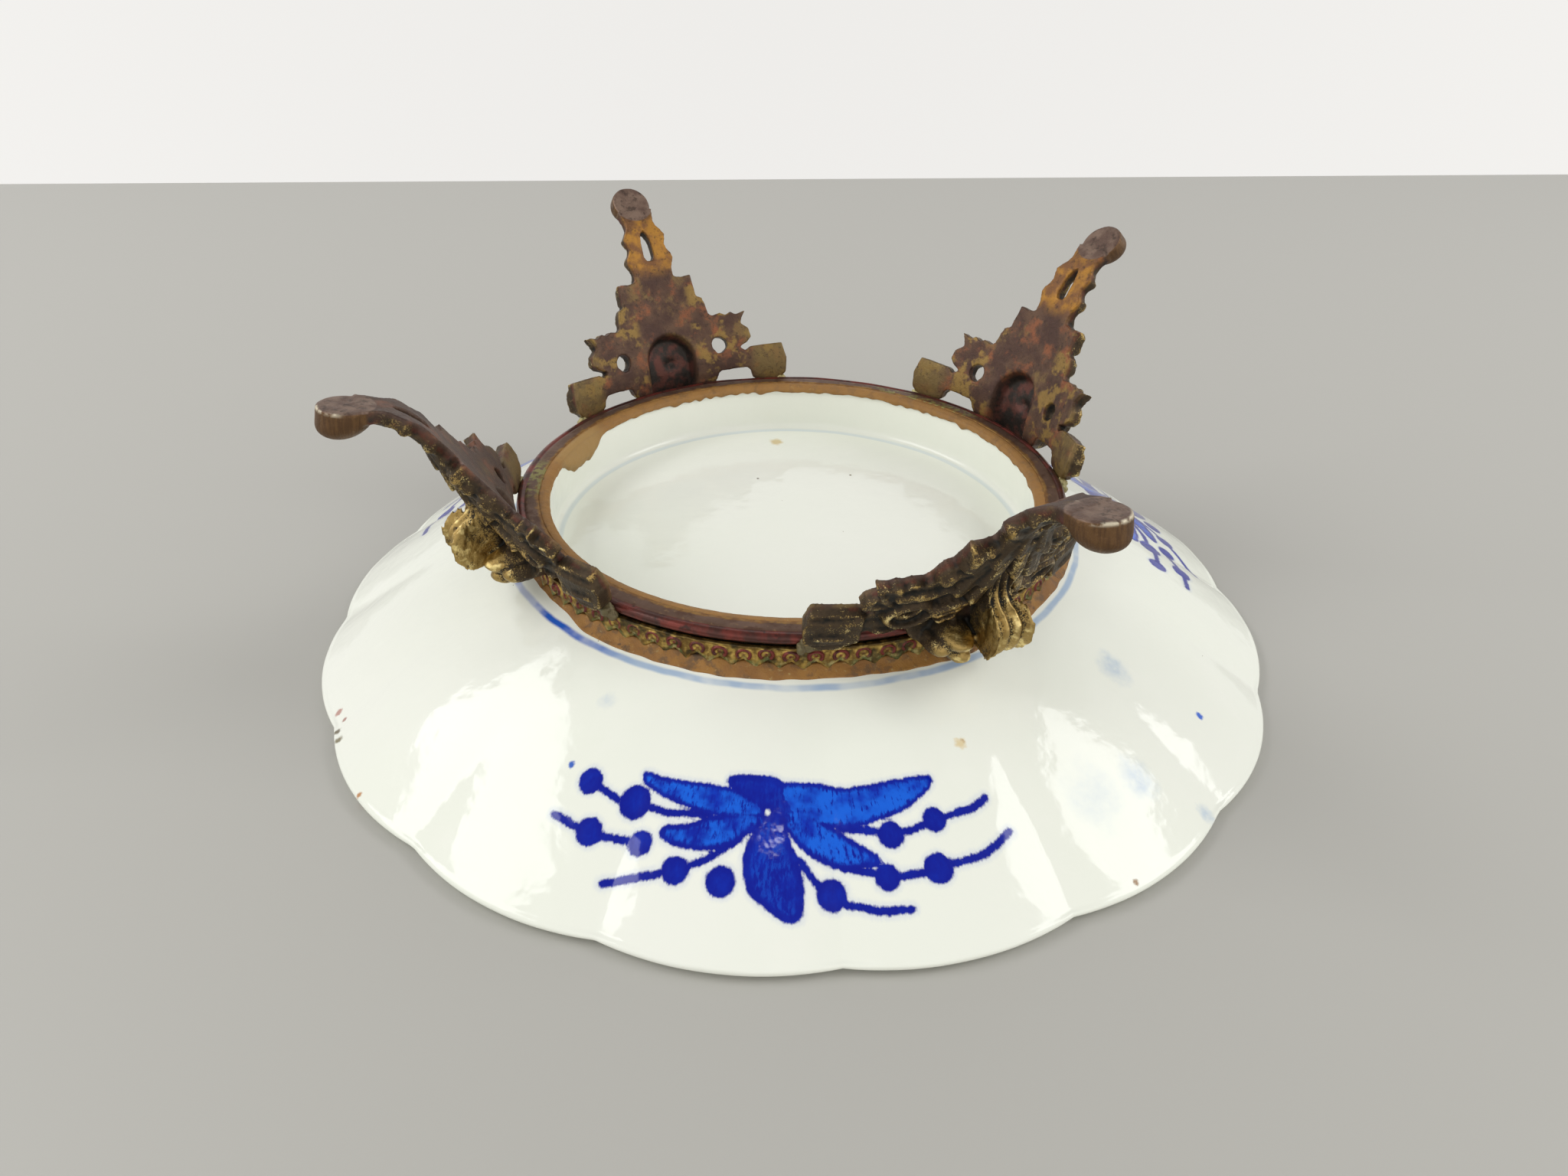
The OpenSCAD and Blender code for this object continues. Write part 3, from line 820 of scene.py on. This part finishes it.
def vertex_normals(verts, faces):
    """Unit normals at the points of a mesh."""
    f = np.array([list(q) if len(q) == 4 else list(q) + [q[-1]] for q in faces])
    n = np.cross(verts[f[:, 2]] - verts[f[:, 0]], verts[f[:, 3]] - verts[f[:, 1]])
    out = np.zeros_like(verts)
    for c in range(4):
        for k in range(3):
            out[:, k] += np.bincount(f[:, c], n[:, k], len(verts))
    return out / np.linalg.norm(out, axis=1).clip(1e-9)[:, None]


def standing_out(verts, normals, edges, rounds):
    """How far each point stands out of (or lies below) a smoothed copy of the surface."""
    smooth = verts
    for _ in range(rounds):
        smooth = 0.5 * smooth + 0.5 * neighbour_mean(smooth, edges)
    return np.sum((verts - smooth) * normals, 1)


def foot_place(verts, bend):
    """(t, s, n) of points of the foot at azimuth zero."""
    table = np.linspace(-6, 50, 225)
    r, z, lean = foot_back(table, bend)
    radius = np.hypot(verts[:, 0], verts[:, 1])
    away = (radius[:, None] - r[None, :]) ** 2 + (verts[:, 2][:, None] - z[None, :]) ** 2
    best = np.argmin(away, 1)
    n = (radius - r[best]) * np.cos(lean[best]) - (verts[:, 2] - z[best]) * np.sin(lean[best])
    return np.stack([verts[:, 1] / radius * r[best], table[best], n], 1)


def cast(bend):
    """Points, faces and surface attributes of the casting with this bend, at azimuth zero."""
    verts, faces = remeshed([plate_shell(bend), boss_shell(bend), toe_shell(bend)], 0.33)
    edges = mesh_edges(faces)
    verts = 0.75 * verts + 0.25 * neighbour_mean(verts, edges)
    normals = vertex_normals(verts, faces)
    place = foot_place(verts, bend)
    toe = toe_place(verts, bend)
    floor = hollow(place[:, 0], place[:, 1])
    front = ease(floor + 0.4, floor + 1.5, place[:, 2]) * ease(46, 43, place[:, 1])
    rough = 0.08 * cloud(verts, 1.5, 61) + 0.04 * cloud(verts, 0.7, 65)
    verts = verts + normals * (rough * (0.25 + 0.75 * front))[:, None]
    normals = vertex_normals(verts, faces)
    fine = standing_out(verts, normals, edges, 6)
    broad = standing_out(verts, normals, edges, 40)
    wear = np.stack([fine, broad, front], 1)
    return verts, faces, {"foot_place": place, "foot_toe": toe, "foot_wear": wear}


def make_feet():
    """The four cast feet, two shapes placed at four azimuths."""
    castings = {"front": cast(FRONT_BEND), "back": cast(BACK_BEND)}
    feet = []
    for name, azimuth in FOOT_AZ.items():
        verts, faces, attributes = castings[name.split("_")[0]]
        a = math.radians(azimuth)
        turn = np.array([[math.cos(a), -math.sin(a), 0], [math.sin(a), math.cos(a), 0], [0, 0, 1]])
        foot = piece("cast_foot_" + name, verts @ turn.T, faces)
        for key, values in attributes.items():
            add_attribute(foot, key, values)
        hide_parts("foot_" + name)
        feet.append(foot)
    return feet


# ---------------------------------------------------------------- solder

def lump(centre, size, azimuth, seed):
    """A lumpy drop: sizes along the radius, round the ring and upwards."""
    work = bmesh.new()
    bmesh.ops.create_icosphere(work, subdivisions=4, radius=1)
    unit = np.array([list(v.co) for v in work.verts])
    faces = [tuple(v.index for v in f.verts) for f in work.faces]
    work.free()
    swell = 1 + 0.22 * cloud(unit * 2, 1.6, seed, 2) + 0.05 * cloud(unit * 2, 0.4, seed + 9, 2)
    local = unit * swell[:, None] * np.array(size) / 2
    a = math.radians(azimuth)
    r, z = centre
    x = (r + local[:, 0]) * math.cos(a) - local[:, 1] * math.sin(a)
    y = (r + local[:, 0]) * math.sin(a) + local[:, 1] * math.cos(a)
    return np.stack([x, y, z + local[:, 2]], 1), faces


def make_solder():
    """Drops that hold the ends of each foot's arms to the collar."""
    made = []
    for i, (name, azimuth) in enumerate(FOOT_AZ.items()):
        shells = []
        for side in (-1, 1):
            at, seed = azimuth + side * ARM_END_AZ, 70 + 7 * i + side
            shells.append(lump((COLLAR_R + 0.5, FLANGE_Z - 1.5), (2.4, 3.4, 3.0), at, seed))
            at += side * 1.2
            shells.append(lump((COLLAR_R + 0.6, FLANGE_Z - 2.2), (2.0, 2.2, 2.2), at, seed + 10))
        verts, faces = joined(shells)
        drops = piece("solder_drops_" + name, verts, faces)
        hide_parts("solder_" + name)
        made.append(drops)
    return made


# ---------------------------------------------------------------- materials

def tone(red, green, blue):
    """A linear colour from one given in steps of 0-255."""
    part = [v / 255 for v in (red, green, blue)]
    return (*[v / 12.92 if v < 0.04 else ((v + 0.055) / 1.055) ** 2.4 for v in part], 1.0)


class Value:
    """The output of a node, which adds, subtracts and multiplies through further nodes."""

    def __init__(self, nodes, socket):
        self.nodes, self.socket = nodes, socket

    def __add__(self, other):
        return self.nodes.math("ADD", self, other)

    def __sub__(self, other):
        return self.nodes.math("SUBTRACT", self, other)

    def __rsub__(self, other):
        return self.nodes.math("SUBTRACT", other, self)

    def __mul__(self, other):
        return self.nodes.math("MULTIPLY", self, other)

    def __abs__(self):
        return self.nodes.math("ABSOLUTE", self)

    __radd__, __rmul__ = __add__, __mul__


class Nodes:
    """A node tree, with short calls that add nodes to it."""

    def __init__(self, tree):
        self.tree = tree

    def feed(self, socket, value):
        if isinstance(value, Value):
            self.tree.links.new(value.socket, socket)
        else:
            socket.default_value = value

    def made(self, kind, inputs, output=0, **settings):
        node = self.tree.nodes.new("ShaderNode" + kind)
        for key, value in settings.items():
            setattr(node, key, value)
        for key, value in inputs.items():
            self.feed(node.inputs[key], value)
        return Value(self, node.outputs[output])

    def math(self, operation, a, b=0.0):
        return self.made("Math", {0: a, 1: b}, operation=operation)

    def ramp(self, x, a, b, low=0.0, high=1.0, kind="SMOOTHSTEP"):
        """From low at a to high at b."""
        ends = {"Value": x, "From Min": a, "From Max": b, "To Min": low, "To Max": high}
        return self.made("MapRange", ends, "Result", interpolation_type=kind)

    def split(self, vector):
        first = self.made("SeparateXYZ", {0: vector})
        return [Value(self, socket) for socket in first.socket.node.outputs]


class Shade(Nodes):
    """The nodes of one material. Lengths are in mm, and colours in steps of 0-255."""

    def __init__(self, name):
        self.material = bpy.data.materials.new(name)
        self.material.use_nodes = True
        super().__init__(self.material.node_tree)
        place = self.made("TexCoord", {}, "Object")
        self.mm = self.made("VectorMath", {0: place, "Scale": 1 / MM}, operation="SCALE")
        self.x, self.y, self.z = self.split(self.mm)
        self.radius = self.math("SQRT", self.x * self.x + self.y * self.y)
        self.azimuth = self.math("ARCTAN2", self.y, self.x)

    def combine(self, x, y, z=0.0):
        return self.made("CombineXYZ", {0: x, 1: y, 2: z})

    def attribute(self, name):
        return self.split(self.made("Attribute", {}, "Vector", attribute_name=name))

    def step(self, a, b, x):
        """Smooth step from 0 at a to 1 at b."""
        return self.ramp(x, a, b) if a < b else 1.0 - self.ramp(x, b, a)

    def sector(self, azimuth, low, high):
        """1 towards this azimuth, by bounds on the cosine of the angle from it."""
        return self.step(low, high, self.math("COSINE", self.azimuth - math.radians(azimuth)))

    def noise(self, size, detail=2.0, rough=0.55, vector=None, seed=0.0):
        """Cloudy noise, 0 to 1 about 0.5, with features of this size."""
        inputs = {"Vector": vector or self.mm, "W": seed, "Scale": 1.0 / size, "Detail": detail}
        inputs["Roughness"] = rough
        return self.made("TexNoise", inputs, noise_dimensions="4D")

    def patches(self, size, low, high, seed, detail=3.0, rough=0.6):
        """Patches, 0 or 1 with soft edges; higher bounds make them rarer."""
        return self.step(low, high, self.noise(size, detail, rough, seed=seed))

    def specks(self, cell, size, share, seed):
        """Small round specks, in this share of the cells."""
        place = self.made("VectorMath", {0: self.mm, 1: (seed, seed, seed)}, operation="ADD")
        gap = self.made("TexVoronoi", {"Vector": place, "Scale": 1.0 / cell}, "Distance")
        draw = self.split(Value(self, gap.socket.node.outputs["Color"]))[0]
        return self.math("LESS_THAN", draw, share) * self.step(size / cell, 0.6 * size / cell, gap)

    def spot(self, azimuth, radius, size, soft=0.5):
        """A round spot on the dish's slope."""
        a = math.radians(azimuth)
        ends = {0: self.combine(self.x, self.y), 1: (radius * math.cos(a), radius * math.sin(a), 0.0)}
        gap = self.made("VectorMath", ends, "Value", operation="DISTANCE")
        gap = gap + (self.noise(1.2 * size) - 0.5) * (1.6 * size)
        return self.step(size * (1 + soft), size * (1 - soft), gap)

    def mix(self, factor, a, b):
        """Colour a with this much of colour b over it."""
        a, b = [tone(*v) if isinstance(v, tuple) else v for v in (a, b)]
        return self.made("Mix", {0: factor, 6: a, 7: b}, 2, data_type="RGBA")

    def lerp(self, factor, a, b):
        return self.made("Mix", {0: factor, 2: a, 3: b}, data_type="FLOAT")

    def bump(self, height, depth):
        """Relief of this depth in mm for a height of 0 to 1."""
        return self.made("Bump", {"Height": height, "Distance": depth * MM})

    def finish(self, colour, roughness, metallic=0.0, normal=None, specular=0.5):
        inputs = {"Base Color": colour, "Roughness": roughness, "Metallic": metallic}
        inputs["Specular IOR Level"] = specular
        if normal:
            inputs["Normal"] = normal
        for key, value in inputs.items():
            self.feed(self.tree.nodes["Principled BSDF"].inputs[key], value)
        return self.material


def porcelain_material():
    """Thick greenish-white glaze over brushed blue, with a few specks and smudges."""
    m = Shade("porcelain_glaze")
    gap, pale, stem = m.attribute("paint")
    colour = m.mix(m.noise(60, 1, seed=1), (232, 237, 223), (239, 240, 233))
    colour = m.mix(0.25 * m.patches(14, 0.5, 0.8, 2), colour, (243, 243, 236))
    for azimuth, radius, size, weight in SMUDGES:
        mask = m.spot(azimuth, radius, size, 0.9) * weight * m.noise(2, seed=5)
        colour = m.mix(mask, colour, (120, 160, 205))
    colour = m.mix(0.8 * m.specks(7, 0.16, 0.22, 3), colour, (120, 105, 80))
    colour = m.mix(0.6 * m.specks(13, 0.3, 0.1, 9), colour, (150, 120, 80))
    for azimuth, radius, size, ink in SPOTS:
        colour = m.mix(m.spot(azimuth, radius, size), colour, ink)
    # line round the foot of the slope, and a fainter one inside the foot ring
    off = abs(m.radius - BLUE_LINE_R + 0.9 * (m.noise(9, seed=6) - 0.5))
    side = m.sector(-142, 0.9, 0.99)
    line = m.step(0.95, 0.3, off) * m.lerp(side, 0.75, 1)
    line = line * m.lerp(m.patches(10, 0.35, 0.6, 7), 0.45, 1)
    colour = m.mix(line, colour, m.mix(side, (132, 165, 205), (40, 92, 190)))
    inner = m.step(0.9, 0.2, abs(m.radius - INNER_LINE_R)) * m.step(27, 25.5, m.z)
    colour = m.mix(0.28 * inner, colour, (160, 190, 215))
    # the sprays: darker where the paint pooled along the edges, washed out inside
    along = m.combine(1.7 * SPRAY_R * m.azimuth, 0.55 * m.radius, 0.5 * m.z)
    comb = (m.noise(1, 2, 0.6, along, 2) - 0.5) * m.lerp(stem, 0.75, 0.85)
    edge = gap + comb + 0.3 * (m.noise(0.55, 1, seed=3) - 0.5)
    colour = m.mix(0.16 * m.step(1.1, 0, edge), colour, (70, 120, 215))
    pooled = m.step(-1.5, -0.15, edge)
    streak = m.noise(1, 3, 0.65, along, 8)
    wash = m.lerp(pooled, 1, 0.25) * pale * m.step(0.2, 0.6, streak)
    ink = m.mix(wash + 0.3 * m.patches(4, 0.45, 0.7, 4), (0, 16, 142), (0, 46, 180))
    light = m.step(0.22, 0.55, wash) * m.patches(5, 0.33, 0.56, 6)
    ink = m.mix(0.9 * light, ink, (18, 100, 222))
    colour = m.mix(m.step(0.26, -0.22, edge), colour, ink)
    peel = m.noise(5, 1, seed=4) + 0.2 * m.noise(1.6, 1, seed=5)
    return m.finish(colour, 0.06 + 0.05 * m.noise(8), normal=m.bump(peel, 0.14), specular=0.36)


def ring_material():
    """Flange brown with wear and stains, bead lacquered red-brown, groove below it and the bead's underside
    painted near black as shade, with greenish patches.
    """
    m = Shade("ring_bronze_patina_and_shade")
    top = m.step(35.7, 36, m.z) * m.step(60.5, 60.1, m.radius)
    # the groove under the bead and the bead's underside, which get the painted shade
    low = m.step(33.9, 33.3, m.z) * m.step(60.3, 60.6, m.radius)
    flat = m.mix(m.patches(7, 0.4, 0.62, 1), (101, 78, 65), (116, 92, 79))
    flat = m.mix(0.7 * m.patches(3, 0.52, 0.66, 2), flat, (86, 58, 44))
    flat = m.mix(0.7 * m.patches(1.4, 0.56, 0.7, 3), flat, (140, 112, 82))
    wander = 2.6 * (m.noise(3, 3, 0.6, seed=7) - 0.5)
    ochre = m.mix(m.patches(1.8, 0.42, 0.6, 8), (132, 92, 48), (158, 120, 62))
    flat = m.mix(0.85 * m.step(58.3, 57.6, m.radius + wander), flat, ochre)
    green = m.sector(181, 0.985, 0.997) + m.sector(52, 0.955, 0.99)
    flat = m.mix(green * m.patches(1.6, 0.46, 0.56, 9), flat, (142, 136, 84))
    bead = m.mix(m.patches(5, 0.42, 0.6, 4), (72, 42, 36), (112, 50, 42))
    bead = m.mix(0.8 * m.patches(2.2, 0.55, 0.68, 5), bead, (36, 30, 25))
    # painted shade under the bead: near black, with greenish patches
    groove = m.mix(m.patches(2.5, 0.45, 0.6, 6), (34, 36, 28), (66, 68, 46))
    colour = m.mix(low, m.mix(top, bead, flat), groove)
    rough = m.lerp(top, 0.24, 0.46) + 0.16 * m.noise(1.5, 3)
    grain = m.noise(0.5, 3, 0.7) + 1.5 * m.noise(3, seed=3)
    return m.finish(colour, rough, m.lerp(top, 0.55, 0.7), m.bump(grain, 0.05))


def band_material():
    """Dark red loops on worn gilding, green and pale where the leaf points meet the cement, and painted
    shade along the top under the bead.
    """
    m = Shade("band_bronze_patina_and_shade")
    loop, rise, _ = m.attribute("band_place")
    raised = m.step(0.25, 0.55, loop)
    gilt = m.mix(m.patches(1.6, 0.42, 0.62, 1), (118, 92, 46), (186, 156, 82))
    gilt = m.mix(0.8 * m.patches(3.5, 0.5, 0.62, 2), gilt, (52, 50, 36))
    red = m.mix(m.patches(1.2, 0.45, 0.62, 3), (112, 40, 32), (74, 30, 24))
    red = m.mix(0.7 * m.patches(0.9, 0.6, 0.7, 4), red, (150, 120, 84))
    colour = m.mix(raised, gilt, red)
    low = m.step(0.42, 0.12, rise) * m.patches(2.4, 0.4, 0.58, 5)
    verdigris = m.mix(m.patches(1.3, 0.46, 0.56, 6), (112, 122, 78), (188, 178, 122))
    colour = m.mix(0.85 * low, colour, verdigris)
    # painted shade: the top of the band darkened where the bead overhangs it
    colour = m.mix(0.7 * m.step(0.9, 1, rise), colour, (40, 36, 28))
    rough = 0.3 + 0.25 * m.noise(0.8, 3)
    return m.finish(colour, rough, m.lerp(raised, 0.8, 0.3), m.bump(m.noise(0.35, 3, 0.7), 0.06))


def foot_material():
    """Cast and gilt: gold left on what stands out, near black in the hollows, plain stained back."""
    m = Shade("foot_bronze_patina")
    t, s, n = m.attribute("foot_place")
    round_toe, depth, toe_r = m.attribute("foot_toe")
    fine, broad, front = m.attribute("foot_wear")
    # carved front: dark patina under flecks of gold, which are thick on what stands out
    height = 1.6 * fine + 0.5 * broad
    mid = m.mix(m.noise(3, 3, 0.6, seed=2), (50, 42, 30), (84, 66, 44))
    carved = m.mix(m.step(-0.3, 0.12, height + 0.5 * (m.noise(1, 3) - 0.5)), (24, 23, 19), mid)
    fleck = m.noise(0.3, 4, 0.75, seed=3) + 0.6 * (m.noise(3, seed=4) - 0.5)
    gold = m.step(0.5, 0.62, fleck + 0.42 * height + 0.25 * m.step(4.5, 9, n) - 0.11)
    bright = m.mix(m.patches(1.5, 0.5, 0.7, 5, 2, 0.55), (178, 150, 92), (252, 228, 158))
    carved = m.mix(0.85 * gold, carved, bright)
    wall = m.step(2.2, 1.2, n) * m.patches(2.2, 0.46, 0.6, 6, 3, 0.55)
    carved = m.mix(0.7 * wall, carved, (96, 48, 36))
    # back face: purple-brown, with ochre and orange stains, and an orange-gold neck on the back pair
    behind = m.step(-5, 5, m.y)
    back = m.mix(m.patches(5, 0.35, 0.65, 7, 3, 0.55), (72, 50, 42), (94, 70, 54))
    back = m.mix(0.8 * m.patches(6, 0.53, 0.68, 8, 4, 0.65), back, (122, 98, 60))
    back = m.mix(0.8 * m.patches(5, 0.5, 0.66, 9, 4, 0.65), back, (140, 84, 54))
    neck = m.mix(m.patches(2.6, 0.36, 0.64, 10, 3, 0.55), (166, 118, 46), (118, 80, 48))
    back = m.mix(behind * m.step(28, 33, s) * m.step(47.5, 43, s), back, neck)
    stain = m.step(6.5, 9, abs(t)) * m.patches(4.5, 0.51, 0.6, 19)
    back = m.mix(0.85 * stain * behind, back, (142, 114, 60))
    back = m.mix(0.45 * (1.0 - behind), back, (72, 58, 52))
    flags = m.step(20, 24, abs(t)) * m.patches(4, 0.3, 0.55, 11, 3, 0.55)
    back = m.mix(0.75 * flags, back, (124, 104, 62))
    back = m.mix(0.7 * m.patches(0.9, 0.54, 0.68, 12, 4, 0.7), back, (52, 40, 32))
    back = m.mix(0.7 * m.step(0, -0.35, broad), back, (46, 34, 28))
    floor = m.mix(m.patches(3, 0.42, 0.62, 13, 3, 0.55), (48, 42, 38), (96, 58, 50))
    back = m.mix(m.step(0.5, 2.2, n), back, floor)
    colour = m.mix(front, back, carved)
    # toe: striped side, plain brown sole with a worn edge
    stripes = m.combine(9.0 * round_toe, 0.25 * depth)
    side = m.mix(m.step(0.4, 0.62, m.noise(1, 3, vector=stripes)), (86, 60, 35), (103, 74, 43))
    sole = m.mix(m.patches(3, 0.35, 0.65, 14, 3, 0.55), (98, 76, 66), (128, 106, 92))
    sole = m.mix(0.7 * m.patches(1.2, 0.52, 0.66, 15, 3, 0.55), sole, (64, 50, 42))
    toe = m.mix(m.step(0.35, 0.12, depth), side, sole)
    worn = m.step(4.3, 4.8, toe_r) * m.step(0.9, 0.2, depth) * m.step(1.5, 0.9, abs(round_toe))
    worn = worn * (1.0 - behind) * m.patches(2.4, 0.44, 0.56, 16, 3, 0.55)
    toe = m.mix(0.9 * worn, toe, (214, 204, 180))
    on_toe = m.step(5.6, 5.3, toe_r) * m.step(7, 6.4, depth) * m.step(-0.6, -0.3, depth)
    colour = m.mix(on_toe, colour, toe)
    rough = m.lerp(gold, 0.42, 0.24) + 0.2 * m.noise(0.8, 3, seed=17)
    metal = m.lerp(front, 0.55, m.lerp(gold, 0.6, 1))
    grain = m.noise(0.4, 4, 0.7) + 1.4 * m.noise(1.8, seed=18)
    return m.finish(colour, rough, metal, m.bump(grain, 0.12))


def cement_material():
    """Ochre-brown set cement, crumbly, paler where it laps the inside of the ring."""
    m = Shade("cement_ochre")
    colour = m.mix(m.patches(5, 0.38, 0.62, 1), (134, 92, 42), (152, 108, 48))
    colour = m.mix(0.8 * m.patches(2.2, 0.5, 0.64, 2), colour, (104, 78, 50))
    colour = m.mix(0.7 * m.patches(1, 0.6, 0.7, 3), colour, (170, 148, 96))
    colour = m.mix(0.7 * m.patches(3.4, 0.62, 0.68, 4), colour, (62, 48, 34))
    inner = m.step(57.5, 56.5, m.radius)
    colour = m.mix(0.6 * inner, colour, (150, 110, 58))
    colour = m.mix(0.8 * inner * m.sector(161, 0.975, 0.995), colour, (162, 130, 78))
    grain = m.noise(0.35, 4, 0.7) + 1.5 * m.noise(1.6, seed=2)
    return m.finish(colour, 0.5 + 0.3 * m.noise(1.2), normal=m.bump(grain, 0.12))


def solder_material():
    """Grey-green solder, browner on the front pair of feet."""
    m = Shade("solder_aged")
    colour = m.mix(m.patches(1.6, 0.4, 0.6, 1), (160, 146, 98), (182, 176, 126))
    colour = m.mix(0.8 * m.patches(1, 0.54, 0.66, 2), colour, (98, 92, 56))
    colour = m.mix(0.8 * m.step(5, -5, m.y), colour, (74, 62, 42))
    return m.finish(colour, 0.34 + 0.3 * m.noise(0.8), 0.35, m.bump(m.noise(0.4, 3, 0.7), 0.08))


# ---------------------------------------------------------------- stage, light and camera

def make_stage():
    """Pale table top, which ends behind the dish; the room's light is the background."""
    half, far_edge, slant = 3000.0, 452.0, math.tan(math.radians(4.4))
    corners = [(-half, -half, 0.0), (half, -half, 0.0)]
    corners += [(half, far_edge + half * slant, 0.0), (-half, far_edge - half * slant, 0.0)]
    floor = new_object("floor", corners, [(0, 1, 2, 3)])
    floor.data.materials.append(Shade("floor_paint").finish((0.45, 0.444, 0.415, 1), 0.45))


def area_light(name, place, size, power):
    """A lamp at this place that faces the dish."""
    data = bpy.data.lights.new(name, "AREA")
    data.shape = "RECTANGLE"
    data.size, data.size_y = size
    data.energy = power
    light = bpy.data.objects.new(name, data)
    bpy.context.scene.collection.objects.link(light)
    light.location = place
    facing = Vector((0, 0, 0.03)) - Vector(place)
    light.rotation_euler = facing.to_track_quat("-Z", "Y").to_euler()


def make_lights():
    """A bright room with a darker ceiling and far side, windows left and right, a lamp overhead."""
    world = bpy.data.worlds.new("studio")
    bpy.context.scene.world = world
    world.use_nodes = True
    nodes = Nodes(world.node_tree)
    _, y, z = nodes.split(nodes.made("TexCoord", {}, "Generated"))
    strength = nodes.ramp(z, 0.45, 0.95, 1.16, 0.36) * nodes.ramp(y, -1.0, 1.0, 1.12, 0.74, "LINEAR")
    background = world.node_tree.nodes["Background"]
    nodes.feed(background.inputs["Color"], (1.0, 0.985, 0.958, 1))
    nodes.feed(background.inputs["Strength"], strength)
    area_light("overhead", (0.0, -0.33, 0.95), (0.035, 0.025), 0.05)
    area_light("left_window", (-0.84, -0.06, 0.78), (0.72, 0.42), 4.2)
    area_light("right_window", (0.86, -0.06, 0.72), (0.5, 0.4), 2.9)


def make_camera():
    """A phone's wide lens from in front and above, turned very slightly about its axis."""
    tilt, roll = 0.576, 0.012
    data = bpy.data.cameras.new("camera")
    data.sensor_width = 36.0
    data.lens = 25.49
    data.clip_start = 0.005
    camera = bpy.data.objects.new("camera", data)
    bpy.context.scene.collection.objects.link(camera)
    turn = Matrix.Rotation(math.pi / 2 - tilt, 4, "X") @ Matrix.Rotation(roll, 4, "Z")
    camera.matrix_world = Matrix.Translation((-0.0016, -0.2275, 0.1542)) @ turn
    bpy.context.scene.camera = camera
    bpy.context.scene.view_settings.view_transform = "Standard"


make_camera()
make_stage()
make_lights()
pieces = {
    porcelain_material: [make_dish()],
    ring_material: [make_collar()],
    band_material: [make_band()],
    cement_material: [make_outer_cement(), make_inner_cement()],
    foot_material: make_feet(),
    solder_material: make_solder()
}
for make_material, objects in pieces.items():
    material = make_material()
    for obj in objects:
        obj.data.materials.append(material)
